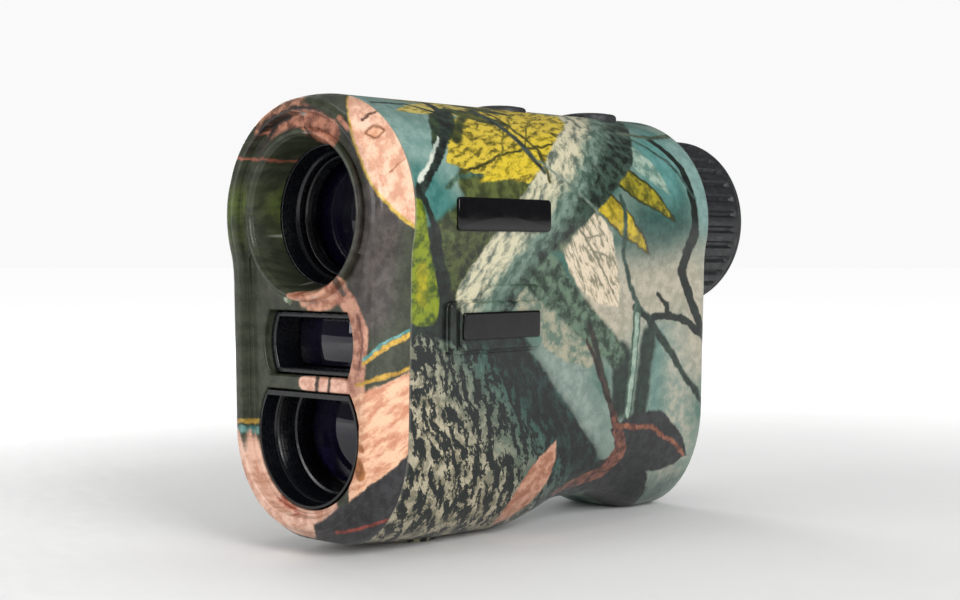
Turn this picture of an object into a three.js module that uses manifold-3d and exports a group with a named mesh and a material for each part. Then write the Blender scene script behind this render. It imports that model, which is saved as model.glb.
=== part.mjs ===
// Laser rangefinder: a palm-sized monocular with a laser emitter and a laser receiver stacked below its
// objective.
// Millimetres. X runs across the object, Y from the objective (front, -Y) to the eyepiece (back), and Z up.
// The origin is under the middle of the object, on the surface it stands on. In this file "depth" is the
// distance behind the foremost edge of the front bezel, and the last lines move depth 0 to -LENGTH / 2.
import * as THREE from "three";
import { mergeVertices } from "three/addons/utils/BufferGeometryUtils.js";
import Module from "manifold-3d";

const wasm = await Module();
wasm.setup();

// ---- Driving dimensions ----
const LENGTH = 104;
const SIGHT_Z = 55.9; // height of the sighting axis: objective, prisms and eyepiece
const EMITTER_Z = 34.8;
const RECEIVER_Z = 19.8;
const GAP = 0.3; // clearance between round or mating parts
const SEAM = 0.1; // width of a closed parting line
const FINE = 28; // segments round a large turned part
const COARSE = 16; // segments round a small one

const BEZEL_BACK = 7.3; // depth of the parting line between bezel and housing
const HOUSING_BACK = 89;
const COVER_FRONT = 86.4;
const COVER_BACK = 88.6;

const REBATE_WALL = 2; // housing wall where the bezel's skirt enters
const WALL = 2.8; // housing wall everywhere else
const REBATE_BACK = 11.2;
const COVER_INSET = 3; // edge left round the rear cover
const COVER_FLOOR_Z = 0.3;

// Cross-sections of the casing: a round top on the sighting axis, flat sides, round lower corners and a
// narrow flat (flatX to either side) to stand on.
const BODY = { topR: 20, waistX: 18.95, lowX: 18.45, flatX: 4, blendDeg: 14 };
const FACE = { topR: 19.1, waistX: 17.2, lowX: 16.6, flatX: 1.5, blendDeg: 20 };
const BLEND_END_Z = 43;
const SIDE_END_Z = 20.4; // where the flat side runs into the bottom
const FACE_BOTTOM_Z = 4.1;

// Height of the casing's lowest line at each depth: front belly, finger arch, then the rear foot.
const BELLY = [
  [7.3, 1.7], [14, 1.1], [24, 0.6], [40, 0.3], [44, 0.9], [48, 2.2], [52, 3.7],
  [57, 4.2], [66, 3.6], [71, 2.4], [75, 0.7], [78, -0.3], [86.5, -0.3], [89, 0.3],
];

const BUTTONS = [
  { name: "power_button", depth: 48.6, radius: 5.1, top: 76.6 },
  { name: "mode_button", depth: 74.7, radius: 5.5, top: 76.9 },
];
const BUTTON_FLANGE = { top: 71.3, thick: 0.7, extraR: 0.8 };
const PORT = { front: 14.9, flapFront: 17.3, back: 38.6, low: 33, mid: 41.9, high: 44.3, seatX: 19.3 };
const SEAT = { rootX: 16.6, stepDepth: 23.4, cornerR: 1.8 };
const PORT_MOUTH = { front: 24.6, back: 36.4, low: 34.6, high: 40.8 };
const FLAP = { thick: 0.7, cornerR: 1.4, margin: 0.6 };
const TRIPOD_DEPTH = 25;
const TRIPOD_BORE_R = 4.2;
const SCREWS = [[-13.2, 34], [13.2, 34], [-8.6, 11], [8.6, 11]]; // X and Z of the rear cover's screws
const SCREW = { tip: 82, shankR: 0.9, headR: 1.7, headFront: 87.4, headBack: 88.5, pilotR: 1.2, sinkR: 2 };
const BARREL_R = 12.2; // outside of the fixed eyepiece barrel

// ---- Solids: joining, cutting and the basic shapes ----
function solid(geometry) {
  const bare = new THREE.BufferGeometry();
  const source = geometry.index ? geometry.toNonIndexed() : geometry;
  bare.setAttribute("position", source.getAttribute("position"));
  const merged = mergeVertices(bare, 1e-4);
  const kept = [];
  const index = merged.index.array;
  for (let i = 0; i < index.length; i += 3) {
    const [a, b, c] = [index[i], index[i + 1], index[i + 2]];
    if (a !== b && b !== c && a !== c) kept.push(a, b, c);
  }
  return new wasm.Manifold(new wasm.Mesh({
    numProp: 3,
    vertProperties: merged.attributes.position.array,
    triVerts: new Uint32Array(kept),
  }));
}

function geometryOf(manifold) {
  const mesh = manifold.getMesh();
  const geometry = new THREE.BufferGeometry();
  geometry.setAttribute("position", new THREE.BufferAttribute(mesh.vertProperties, mesh.numProp));
  geometry.setIndex(new THREE.BufferAttribute(mesh.triVerts, 1));
  const flat = geometry.toNonIndexed();
  flat.computeVertexNormals();
  return flat;
}

const cut = (body, ...tools) => tools.reduce((left, tool) => left.subtract(tool), body);
const join = (...bodies) => bodies.reduce((all, body) => all.add(body));

// A turned part about the Y axis at height z, from [radius, depth] points. The loop closes by itself unless
// it starts and ends on the axis.
function turned(profile, z = 0, x = 0, segments = FINE) {
  const points = profile.map(([r, depth]) => new THREE.Vector2(r, depth));
  const onAxis = profile[0][0] === 0 && profile.at(-1)[0] === 0;
  if (!onAxis) points.push(points[0].clone());
  if (THREE.ShapeUtils.area(points) <= 0) points.reverse();
  return solid(new THREE.LatheGeometry(points, segments).translate(x, 0, z));
}

// The same about a vertical axis, from [radius, height] points.
function upright(profile, depth, segments = COARSE) {
  const points = profile.map(([r, z]) => new THREE.Vector2(r, z));
  const onAxis = profile[0][0] === 0 && profile.at(-1)[0] === 0;
  if (!onAxis) points.push(points[0].clone());
  if (THREE.ShapeUtils.area(points) < 0) points.reverse();
  return solid(new THREE.LatheGeometry(points, segments).rotateX(Math.PI / 2).translate(0, depth, 0));
}

function block(x0, x1, depth0, depth1, z0, z1) {
  const box = new THREE.BoxGeometry(x1 - x0, depth1 - depth0, z1 - z0);
  return solid(box.translate((x0 + x1) / 2, (depth0 + depth1) / 2, (z0 + z1) / 2));
}

// A shape drawn in X and Z, extruded from depth0 to depth1.
function slab(shape, depth0, depth1, curveSegments = 8) {
  const extruded = new THREE.ExtrudeGeometry(shape, {
    depth: depth1 - depth0, bevelEnabled: false, curveSegments,
  });
  return solid(extruded.rotateX(Math.PI / 2).translate(0, depth1, 0));
}

// A shape drawn in depth and Z, extruded from x0 to x1.
function sidePlate(shape, x0, x1, curveSegments = 3) {
  const extruded = new THREE.ExtrudeGeometry(shape, {
    depth: x1 - x0, bevelEnabled: false, curveSegments,
  });
  // rotateX then rotateZ turns (u, v, w) into (x = w, depth = u, z = v).
  return solid(extruded.rotateX(Math.PI / 2).rotateZ(Math.PI / 2).translate(x0, 0, 0));
}

function roundedRectangle(u0, u1, v0, v1, radius) {
  const shape = new THREE.Shape();
  shape.absarc(u1 - radius, v0 + radius, radius, -Math.PI / 2, 0);
  shape.absarc(u1 - radius, v1 - radius, radius, 0, Math.PI / 2);
  shape.absarc(u0 + radius, v1 - radius, radius, Math.PI / 2, Math.PI);
  shape.absarc(u0 + radius, v0 + radius, radius, Math.PI, 1.5 * Math.PI);
  shape.closePath();
  return shape;
}

// A circle cut flat at z0 and z1, as a shape in X and Z.
function flattenedCircle(radius, centreZ, z0, z1) {
  const low = Math.asin(Math.max(-1, (z0 - centreZ) / radius));
  const high = Math.asin(Math.min(1, (z1 - centreZ) / radius));
  const shape = new THREE.Shape();
  shape.absarc(0, centreZ, radius, low, high);
  shape.absarc(0, centreZ, radius, Math.PI - high, Math.PI - low);
  shape.closePath();
  return shape;
}

// ---- The casing's cross-section ----
const TOP_STEPS = 7;
const BLEND_STEPS = 2;
const BOTTOM_STEPS = 5;

// Points of a casing section, counter-clockwise in X and Z from the bottom, pushed inwards by inset.
function section({ topR, waistX, lowX, flatX, blendDeg }, bottomZ, inset = 0) {
  const [r, waist, low, bottom] = [topR - inset, waistX - inset, lowX - inset, bottomZ + inset];
  const floor = inset > 0 ? bottom : Math.max(bottom, 0);
  const right = [];
  for (let i = 0; i <= BOTTOM_STEPS; i++) {
    const a = (i / BOTTOM_STEPS) * Math.PI / 2;
    const x = flatX + (low - flatX) * Math.sin(a);
    right.push([x, Math.max(floor, SIDE_END_Z - (SIDE_END_Z - bottom) * Math.cos(a))]);
  }
  const blend = THREE.MathUtils.degToRad(blendDeg);
  const start = new THREE.Vector2(waist, BLEND_END_Z);
  const end = new THREE.Vector2(r * Math.cos(blend), SIGHT_Z - r * Math.sin(blend));
  const bend = new THREE.Vector2(waist, end.y - (end.x - waist) / Math.tan(blend));
  const curve = new THREE.QuadraticBezierCurve(start, bend, end);
  for (const p of curve.getPoints(BLEND_STEPS)) right.push([p.x, p.y]);
  for (let i = 1; i <= TOP_STEPS; i++) {
    const a = -blend + (i / TOP_STEPS) * (Math.PI / 2 + blend);
    right.push([r * Math.cos(a), SIGHT_Z + r * Math.sin(a)]);
  }
  const left = right.slice(0, -1).reverse().map(([x, z]) => [-x, z]);
  return [...right, ...left];
}

function sectionShape(kind, bottomZ, inset) {
  return new THREE.Shape(section(kind, bottomZ, inset).map(([x, z]) => new THREE.Vector2(x, z)));
}

function bellyAt(depth) {
  const next = BELLY.findIndex(([d]) => d >= depth);
  if (next <= 0) return next === 0 ? BELLY[0][1] : BELLY.at(-1)[1];
  const [[d0, z0], [d1, z1]] = [BELLY[next - 1], BELLY[next]];
  return z0 + (z1 - z0) * (depth - d0) / (d1 - d0);
}

// A closed solid through sections given as [depth, points], front to back.
function loft(stations) {
  const n = stations[0][1].length;
  const at = ([depth, points], i) => [points[i % n][0], depth, points[i % n][1]];
  const position = [];
  for (let s = 0; s + 1 < stations.length; s++) {
    for (let i = 0; i < n; i++) {
      const [a, b] = [at(stations[s], i), at(stations[s], i + 1)];
      const [c, d] = [at(stations[s + 1], i), at(stations[s + 1], i + 1)];
      position.push(...a, ...c, ...b, ...b, ...c, ...d);
    }
  }
  for (const [station, front] of [[stations[0], true], [stations.at(-1), false]]) {
    const contour = station[1].map(([x, z]) => new THREE.Vector2(x, z));
    for (const [i, j, k] of THREE.ShapeUtils.triangulateShape(contour, [])) {
      const order = front ? [i, j, k] : [i, k, j];
      for (const v of order) position.push(...at(station, v));
    }
  }
  const geometry = new THREE.BufferGeometry();
  geometry.setAttribute("position", new THREE.Float32BufferAttribute(position, 3));
  return solid(geometry);
}

function mixed(a, b, t) {
  return Object.fromEntries(Object.keys(a).map((key) => [key, a[key] + (b[key] - a[key]) * t]));
}

// ---- Parts list ----
// Colour, roughness and metalness of each look.
const MATERIALS = {
  casing: [0x6f8f80, 0.55, 0],
  rubber: [0x17181b, 0.75, 0],
  gloss: [0x0b0b0e, 0.15, 0],
  black: [0x101114, 0.45, 0],
  glass: [0x1a1830, 0.05, 0],
  clearGlass: [0xb8ccd6, 0.05, 0],
  board: [0x1f5c38, 0.5, 0],
  cell: [0x3a4f9a, 0.4, 0],
  steel: [0xb9bcc0, 0.3, 1],
  brass: [0xc9a24a, 0.35, 1],
  cage: [0x3c3f44, 0.5, 0.6],
  seal: [0x202022, 0.8, 0],
};
const rangefinder = new THREE.Group();

function part(name, look, manifold) {
  const [color, roughness, metalness] = MATERIALS[look];
  const material = new THREE.MeshStandardMaterial({ color, roughness, metalness });
  const mesh = new THREE.Mesh(geometryOf(manifold), material);
  mesh.name = name;
  rangefinder.add(mesh);
}

// ---- Front bezel: lip, recessed face, objective ring and three windows ----
const FACE_DEPTH = 1.6;
const LIP = { crest: 1.35, inner: 2.7, outerDepth: 1.1 };
const OBJECTIVE_RING = { outer: 14.2, crestOuter: 13.9, crestInner: 13.2, depth: 0.5 };
const HOOD = { frontR: 12.9, backR: 11.65, back: 6.3, wall: 1.5 };
const WINDOW = { radius: 10.9, low: 29.4, high: 40.1 };
const RECEIVER_MOUTH = { radius: 12.4, high: 27 };

function frontBezel() {
  const flare = (t) => [mixed(FACE, BODY, t), FACE_BOTTOM_Z + (BELLY[0][1] - FACE_BOTTOM_Z) * t];
  const body = loft([
    [0, section(FACE, FACE_BOTTOM_Z, LIP.crest)],
    [0.35, section(FACE, FACE_BOTTOM_Z, 0.5)],
    [LIP.outerDepth, section(FACE, FACE_BOTTOM_Z)],
    [4, section(...flare(0.55))],
    [BEZEL_BACK, section(...flare(1))],
  ]);
  const face = loft([
    [-1, section(FACE, FACE_BOTTOM_Z, LIP.crest + 0.15)],
    [0.1, section(FACE, FACE_BOTTOM_Z, LIP.crest + 0.3)],
    [0.7, section(FACE, FACE_BOTTOM_Z, LIP.inner)],
    [FACE_DEPTH, section(FACE, FACE_BOTTOM_Z, LIP.inner)],
  ]);
  const pocket = slab(sectionShape(FACE, FACE_BOTTOM_Z, 1.9), FACE_DEPTH + 2.2, BEZEL_BACK + 1);
  const skirtRing = sectionShape(BODY, BELLY[0][1], REBATE_WALL + GAP);
  skirtRing.holes.push(sectionShape(BODY, BELLY[0][1], 3.8));
  const skirt = slab(skirtRing, 4.2, 10);
  const ring = turned([
    [OBJECTIVE_RING.outer, 3], [OBJECTIVE_RING.outer, 0.9],
    [OBJECTIVE_RING.crestOuter, OBJECTIVE_RING.depth], [OBJECTIVE_RING.crestInner, OBJECTIVE_RING.depth],
    [HOOD.frontR, 1], [HOOD.frontR, 3],
  ], SIGHT_Z);
  const hood = turned([
    [HOOD.frontR + HOOD.wall, 2], [HOOD.backR + HOOD.wall, HOOD.back],
    [HOOD.backR, HOOD.back], [HOOD.frontR, 2],
  ], SIGHT_Z);
  const objectiveHole = turned([
    [0, -1], [HOOD.frontR, -1], [HOOD.frontR, 1], [HOOD.backR, HOOD.back], [HOOD.backR, 8], [0, 8],
  ], SIGHT_Z);
  const emitterHole = slab(flattenedCircle(WINDOW.radius, EMITTER_Z, WINDOW.low, WINDOW.high), 0, 5);
  const receiverHole = slab(
    flattenedCircle(RECEIVER_MOUTH.radius, RECEIVER_Z, 0, RECEIVER_MOUTH.high), 0, 5, 14,
  );
  return cut(join(cut(body, face, pocket), ring, hood, skirt), objectiveHole, emitterHole, receiverHole);
}

// ---- Main housing: one hollow tube with the button holes, the charging port and the tripod boss ----
const REAR_FILLET = [[86.2, 0], [87.6, 0.45], [88.5, 1.2], [HOUSING_BACK, 2.3]]; // depth and inset
const CAVITY_DEPTHS = [REBATE_BACK, 40, 48, 57, 66, 71, 78, 84.3];
const BEHIND = 91; // a depth behind the housing, where cutters end

function housingOutside() {
  const bellyDepths = BELLY.map(([depth]) => depth);
  const plain = bellyDepths.filter((depth) => depth > BEZEL_BACK && depth < REAR_FILLET[0][0]);
  const stations = [BEZEL_BACK + SEAM, ...plain].map((depth) => [depth, section(BODY, bellyAt(depth))]);
  for (const [depth, inset] of REAR_FILLET) {
    const { topR, waistX, lowX } = BODY;
    const smaller = { ...BODY, topR: topR - inset, waistX: waistX - inset, lowX: lowX - inset };
    stations.push([depth, section(smaller, bellyAt(depth) + inset)]);
  }
  return loft(stations);
}

function buttonHole({ depth, radius }) {
  const flangeR = radius + BUTTON_FLANGE.extraR + 0.4;
  const flangeTop = BUTTON_FLANGE.top + GAP;
  return upright([
    [0, 68], [flangeR, 68], [flangeR, flangeTop], [radius + GAP, flangeTop], [radius + GAP, 80], [0, 80],
  ], depth);
}

// A plate raised round the charging port, from front to the port's back and up to high.
function portSeat(front, high) {
  return sidePlate(roundedRectangle(front, PORT.back, PORT.low, high, SEAT.cornerR), SEAT.rootX, PORT.seatX);
}

function portMouth() {
  const { front, back, low, high } = PORT_MOUTH;
  return sidePlate(roundedRectangle(front, back, low, high, 1.5), 12, 21);
}

function mainHousing() {
  const cavity = loft(
    CAVITY_DEPTHS.map((depth) => [depth, section(BODY, Math.max(0, bellyAt(depth)), WALL)]),
  );
  const rebate = slab(sectionShape(BODY, BELLY[0][1], REBATE_WALL), 6, REBATE_BACK);
  const rearMouth = slab(sectionShape(BODY, COVER_FLOOR_Z, 5.2), 84, BEHIND);
  const coverSeat = slab(sectionShape(BODY, COVER_FLOOR_Z, COVER_INSET), COVER_FRONT - SEAM, BEHIND);
  const shell = cut(housingOutside(), cavity, rebate, rearMouth, coverSeat);

  const boss = upright([[0, 0], [5.2, 0], [6.4, 4], [6.4, 9.2], [0, 9.2]], TRIPOD_DEPTH);
  const bossBore = upright([[0, -1], [TRIPOD_BORE_R, -1], [TRIPOD_BORE_R, 7.8], [0, 7.8]], TRIPOD_DEPTH);
  const pillarBack = COVER_FRONT - SEAM;
  const pillarProfile = [[0, 78], [2.2, 78], [2.2, pillarBack], [0, pillarBack]];
  const pilotProfile = [[0, 81], [SCREW.pilotR, 81], [SCREW.pilotR, 90], [0, 90]];
  const pillars = SCREWS.map(([x, z]) => turned(pillarProfile, z, x, COARSE));
  const pilots = SCREWS.map(([x, z]) => turned(pilotProfile, z, x, COARSE));
  const seats = [portSeat(SEAT.stepDepth, PORT.high), portSeat(PORT.front, PORT.mid)];
  const holes = BUTTONS.map(buttonHole);
  return cut(join(shell, ...seats, boss, ...pillars), portMouth(), bossBore, ...holes, ...pilots);
}

part("front_bezel", "casing", frontBezel());
part("main_housing", "casing", mainHousing());

// ---- Rear cover and its screws ----
const coverHoleProfile = [[0, 80], [BARREL_R + GAP, 80], [BARREL_R + GAP, 95], [0, 95]];
const sinkProfile = [
  [0, 80], [SCREW.pilotR, 80], [SCREW.pilotR, 87.2], [SCREW.sinkR, 87.2], [SCREW.sinkR, 95], [0, 95],
];
part("rear_cover", "casing", cut(
  slab(sectionShape(BODY, COVER_FLOOR_Z, COVER_INSET + GAP), COVER_FRONT, COVER_BACK),
  turned(coverHoleProfile, SIGHT_Z),
  ...SCREWS.map(([x, z]) => turned(sinkProfile, z, x, COARSE)),
));
SCREWS.forEach(([x, z], i) => {
  const { tip, shankR, headR, headFront, headBack } = SCREW;
  const body = turned([
    [0, tip], [shankR, tip], [shankR, headFront], [headR, headFront], [headR, headBack - 0.3],
    [headR - 0.4, headBack], [0, headBack],
  ], z, x, COARSE);
  const slots = [[1, 0.22], [0.22, 1]].map(([w, h]) => block(x - w, x + w, 87.9, 89, z - h, z + h));
  part(`rear_screw_${i + 1}`, "steel", cut(body, ...slots));
});

// ---- Seals ----
function sealRing(inset, width, depth0, depth1) {
  const ring = sectionShape(BODY, BELLY[0][1], inset);
  ring.holes.push(sectionShape(BODY, BELLY[0][1], inset + width));
  return slab(ring, depth0, depth1);
}
part("front_seal", "seal", sealRing(REBATE_WALL + 0.2, 1.3, 10.1, REBATE_BACK - SEAM));

// ---- Objective: cell, lens and retaining ring ----
part("objective_cell", "black", turned([
  [11.3, 6.5], [13, 6.5], [13, 9], [12.2, 9], [12.2, 30], [9, 30], [9, 17.2], [10.5, 17.2], [10.5, 9.4],
  [10.9, 9.2], [10.9, 7.5],
], SIGHT_Z));
part("objective_lens", "glass", turned([
  [0, 12.3], [4, 12.45], [7.5, 12.9], [10.2, 13.6], [10.2, 16.4], [7.5, 16.8], [4, 17.05], [0, 17.15],
], SIGHT_Z));
part("objective_retaining_ring", "black", turned([
  [10.2, 10.7], [10.2, 13], [9.7, 12.95], [9.4, 12.6], [9.4, 11.6], [9.9, 10.7],
], SIGHT_Z));

// ---- Emitter: flattened cell, lens, diode and board ----
const EMITTER_CELL = { radius: WINDOW.radius - GAP, low: WINDOW.low + GAP, high: WINDOW.high - GAP };
const EMITTER_WALL = 0.9;

// The emitter cell's outline pushed in by side and, above and below, by rise.
function emitterOutline(side, rise) {
  const { radius, low, high } = EMITTER_CELL;
  return flattenedCircle(radius - side, EMITTER_Z, low + rise, high - rise);
}
part("emitter_cell", "black", cut(
  slab(emitterOutline(0, 0), 3.4, 19.6),
  slab(emitterOutline(EMITTER_WALL, EMITTER_WALL), 2, 10.2),
  slab(emitterOutline(EMITTER_WALL + 1.2, EMITTER_WALL + 0.6), 9, 21),
));
const lensLow = EMITTER_CELL.low + EMITTER_WALL + GAP;
const lensHigh = EMITTER_CELL.high - EMITTER_WALL - GAP;
part("emitter_lens", "glass", turned([
  [0, 7.4], [4.5, 7.7], [9.4, 8.7], [9.4, 9.9], [0, 9.9],
], EMITTER_Z).intersect(block(-12, 12, 0, 20, lensLow, lensHigh)));
part("laser_diode", "brass", turned([
  [0, 15.4], [1.2, 15.4], [2.4, 15.8], [2.4, 18.4], [3, 18.4], [3, 19.5], [0, 19.5],
], EMITTER_Z, 0, COARSE));
part("laser_board", "board", block(-9, 9, 19.9, 21, 30.4, 39.6));

// ---- Receiver: cell, lens, retaining ring, detector and board ----
const MOUTH_STEPS = 14;
const receiverR = RECEIVER_MOUTH.radius - GAP;
const receiverOuter = join(
  slab(flattenedCircle(receiverR, RECEIVER_Z, 0, RECEIVER_MOUTH.high - GAP), 1.9, 5, MOUTH_STEPS),
  slab(flattenedCircle(receiverR, RECEIVER_Z, 0, 29.3), 4.1, 18.2, MOUTH_STEPS),
);
const receiverBore = turned([
  [0, 1], [11.7, 1], [11.4, 4.6], [11.1, 5], [10.4, 8], [10, 8.3], [9.9, 12.8], [7.6, 12.8], [7, 20], [0, 20],
], RECEIVER_Z);
const boreLimits = join(
  block(-14, 14, 0, 4.8, 0, RECEIVER_MOUTH.high - 1.1), block(-14, 14, 4.8, 22, 0, 28.4),
);
part("receiver_cell", "black", cut(receiverOuter, receiverBore.intersect(boreLimits)));
part("receiver_lens", "glass", turned([
  [0, 9.6], [3.5, 9.8], [6.4, 10.4], [8.5, 11.2], [8.5, 12.4], [0, 12.4],
], RECEIVER_Z));
part("detector", "steel", turned([
  [0, 33.4], [3.6, 33.4], [4, 33.8], [4, 36.8], [4.6, 36.8], [4.6, 37.7], [0, 37.7],
], RECEIVER_Z, 0, COARSE));
part("receiver_board", "board", block(-11.5, 11.5, 38, 39.2, 11, 31));

// ---- Chassis: bulkhead behind the cells, prism cage, prisms and reticle display ----
const bulkhead = cut(
  slab(sectionShape(BODY, bellyAt(26), WALL + GAP), 24.6, 26.6),
  turned([[0, 20], [12.5, 20], [12.5, 30], [0, 30]], SIGHT_Z),
  turned([[0, 20], [6, 20], [6, 30], [0, 30]], RECEIVER_Z, 0, COARSE),
  upright([[0, -1], [6.7, -1], [6.7, 9.5], [0, 9.5]], TRIPOD_DEPTH),
  block(8, 20, 20, 30, 32.5, 43.4),
);
part("bulkhead", "cage", bulkhead);

const CAGE = { half: 11, wall: 2.4, front: 34, back: 58 };
const cageHole = CAGE.half - CAGE.wall;
part("prism_cage", "cage", cut(
  block(-CAGE.half, CAGE.half, CAGE.front, CAGE.back, SIGHT_Z - CAGE.half, SIGHT_Z + CAGE.half),
  block(-cageHole, cageHole, 30, 60, SIGHT_Z - cageHole, SIGHT_Z + cageHole),
));
function prism(corners) {
  const shape = new THREE.Shape(corners.map(([depth, z]) => new THREE.Vector2(depth, SIGHT_Z + z)));
  return sidePlate(shape, -8, 8);
}
part("front_prism", "clearGlass", prism([[36, -8.2], [40.8, -8.2], [53.2, 8.2], [36, 8.2]]));
part("rear_prism", "clearGlass", prism([[41.5, -8.2], [56, -8.2], [56, 8.2], [53.9, 8.2]]));
part("reticle_display", "glass", block(-7.6, 7.6, 59.4, 61, SIGHT_Z - 7.6, SIGHT_Z + 7.6));

// ---- Electronics and power ----
part("switch_board", "board", block(-4, 4, 41, 82, 68.4, 69));
BUTTONS.forEach(({ name, depth }) => {
  part(name.replace("button", "switch"), "steel", join(
    block(-2.6, 2.6, depth - 2.6, depth + 2.6, 69.1, 70),
    upright([[0, 69.5], [1.6, 69.5], [1.6, 70.5], [0, 70.5]], depth),
  ));
});
part("main_board", "board", block(-13.9, -12.8, 42, 76, 17, 42));
part("battery_cell", "cell", block(-5, 5, 46, 76.4, 10.4, 34.6));
part("battery_cradle", "cage", cut(
  block(-6.6, 6.6, 44.8, 77.6, 8.8, 15.6), block(-5.3, 5.3, 45.7, 76.7, 10.1, 20),
));
part("charge_board", "board", block(9.6, 10.6, 23.5, 37.5, 33, 42.4));
const SOCKET = { halfDepth: 4.5, halfZ: 1.65, cornerR: 1.5, wall: 0.4 };
const socketDepth = (PORT_MOUTH.front + PORT_MOUTH.back) / 2;
const socketZ = (PORT_MOUTH.low + PORT_MOUTH.high) / 2;

// The charging socket's outline, pushed in by inset.
function socketOutline(inset, cornerR) {
  const [halfDepth, halfZ] = [SOCKET.halfDepth - inset, SOCKET.halfZ - inset];
  return roundedRectangle(
    socketDepth - halfDepth, socketDepth + halfDepth, socketZ - halfZ, socketZ + halfZ, cornerR,
  );
}
part("charge_socket", "steel", cut(
  sidePlate(socketOutline(0, SOCKET.cornerR), 10.7, 16.4),
  sidePlate(socketOutline(SOCKET.wall, 1.2), 11.5, 18),
));

// ---- Charging-port cover: a flap with a sealing plug, its hinge strip and the lower nameplate ----
const FLAP_X = PORT.seatX + SEAM;
const [flapLow, flapHigh] = [PORT.low + FLAP.margin, PORT.mid - 0.4];
const stripOutline = roundedRectangle(PORT.front + 0.3, PORT.flapFront - 0.5, flapLow, flapHigh, 0.7);
part("port_hinge_strip", "casing", sidePlate(stripOutline, FLAP_X, FLAP_X + 0.6));
const flapOutline = roundedRectangle(PORT.flapFront, PORT.back - 0.7, flapLow, flapHigh, FLAP.cornerR);
part("port_cover", "casing", join(
  sidePlate(flapOutline, FLAP_X, FLAP_X + FLAP.thick),
  sidePlate(roundedRectangle(25.2, 35.8, 35.2, 40.2, 1.2), 17, FLAP_X + 0.2),
));
part("model_plate", "gloss", sidePlate(
  roundedRectangle(17.9, 36.9, 35.4, 39.9, 0.5), FLAP_X + FLAP.thick + 0.05, FLAP_X + 1.1,
));

// ---- Upper nameplate, bent to the round of the casing ----
const PLATE = { front: 16.6, back: 39.8, low: 53.2, high: 58.7, thick: 0.55 };
const plateShell = turned([
  [BODY.topR + 0.02, PLATE.front], [BODY.topR + PLATE.thick, PLATE.front],
  [BODY.topR + PLATE.thick, PLATE.back], [BODY.topR + 0.02, PLATE.back],
], SIGHT_Z, 0, 180);
part("brand_plate", "gloss", plateShell.intersect(
  sidePlate(roundedRectangle(PLATE.front, PLATE.back, PLATE.low, PLATE.high, 0.6), 10, 25),
));

// ---- Tripod insert ----
part("tripod_insert", "brass", upright(
  [[3, 0.2], [3.9, 0.2], [3.9, 7.4], [3, 7.4]], TRIPOD_DEPTH,
));

// ---- Buttons ----
for (const { name, depth, radius, top } of BUTTONS) {
  const flangeR = radius + BUTTON_FLANGE.extraR;
  const flangeLow = BUTTON_FLANGE.top - BUTTON_FLANGE.thick;
  part(name, "rubber", upright([
    [0, 71.1], [3.4, 71.1], [3.4, flangeLow], [flangeR, flangeLow], [flangeR, BUTTON_FLANGE.top],
    [radius, BUTTON_FLANGE.top], [radius, top - 0.75], [radius - 0.6, top - 0.25],
    [radius * 0.5, top], [0, top],
  ], depth));
}

// ---- Eyepiece: fixed barrel, sliding lens cell, knurled diopter ring and eyecup ----
part("eyepiece_barrel", "black", turned([
  [10, 66], [BARREL_R, 66], [BARREL_R, COVER_BACK + SEAM], [14.1, COVER_BACK + SEAM], [14.1, 91],
  [13.5, 91], [13.5, 99.4], [11.3, 99.4], [11.3, 67.5], [10, 67.5],
], SIGHT_Z));
part("eye_lens_cell", "black", turned([
  [9.9, 84], [11, 84], [11, 98], [9.3, 98], [9.3, 97.4], [9.9, 97.4],
], SIGHT_Z));
part("eye_lens", "glass", turned([
  [0, 92.6], [9.6, 93.4], [9.6, 95.4], [7, 96.5], [0, 97.2],
], SIGHT_Z));
part("field_lens", "glass", turned([
  [0, 85.2], [6, 85.6], [9.6, 86.4], [9.6, 88.2], [0, 88.8],
], SIGHT_Z));

const KNURLS = 34;
const RING = { innerR: 14.5, outerR: 16.8, front: 89.5, back: 102.2, grooveDepth: 0.55, grooveShare: 0.3 };

function knurledOutline() {
  const shape = new THREE.Shape();
  const pitch = 2 * Math.PI / KNURLS;
  const grooveR = RING.outerR - RING.grooveDepth;
  const corners = [
    [0, grooveR], [RING.grooveShare, grooveR], [RING.grooveShare, RING.outerR], [1, RING.outerR],
  ];
  for (let i = 0; i < KNURLS; i++) {
    for (const [turn, r] of corners) {
      const a = (i + turn) * pitch;
      const point = [r * Math.cos(a), SIGHT_Z + r * Math.sin(a)];
      if (i === 0 && turn === 0) shape.moveTo(...point);
      else shape.lineTo(...point);
    }
  }
  shape.closePath();
  return shape;
}
part("diopter_ring", "rubber", cut(
  slab(knurledOutline(), RING.front, RING.back),
  turned([[0, 80], [RING.innerR, 80], [RING.innerR, 105], [0, 105]], SIGHT_Z),
));
part("eyecup", "rubber", turned([
  [10.2, 100.6], [13.2, 99.8], [14.2, 99.8], [14.2, RING.back + SEAM], [RING.outerR, RING.back + SEAM],
  [RING.outerR, 103.1], [RING.outerR - 0.6, 103.8], [RING.outerR - 1.3, LENGTH], [14.4, LENGTH],
  [12.6, 103.2], [10.6, 101.6],
], SIGHT_Z));

rangefinder.position.y = -LENGTH / 2;
export default rangefinder;
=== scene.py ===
"""Laser rangefinder: the finished look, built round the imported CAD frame.

Pieces are drawn in millimetres as (x, depth, z), where depth is the distance behind the bezel's foremost
edge, and become metres in the row frame as they are made: X across, Y from objective to eyepiece, Z up.
"""
import math

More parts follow.
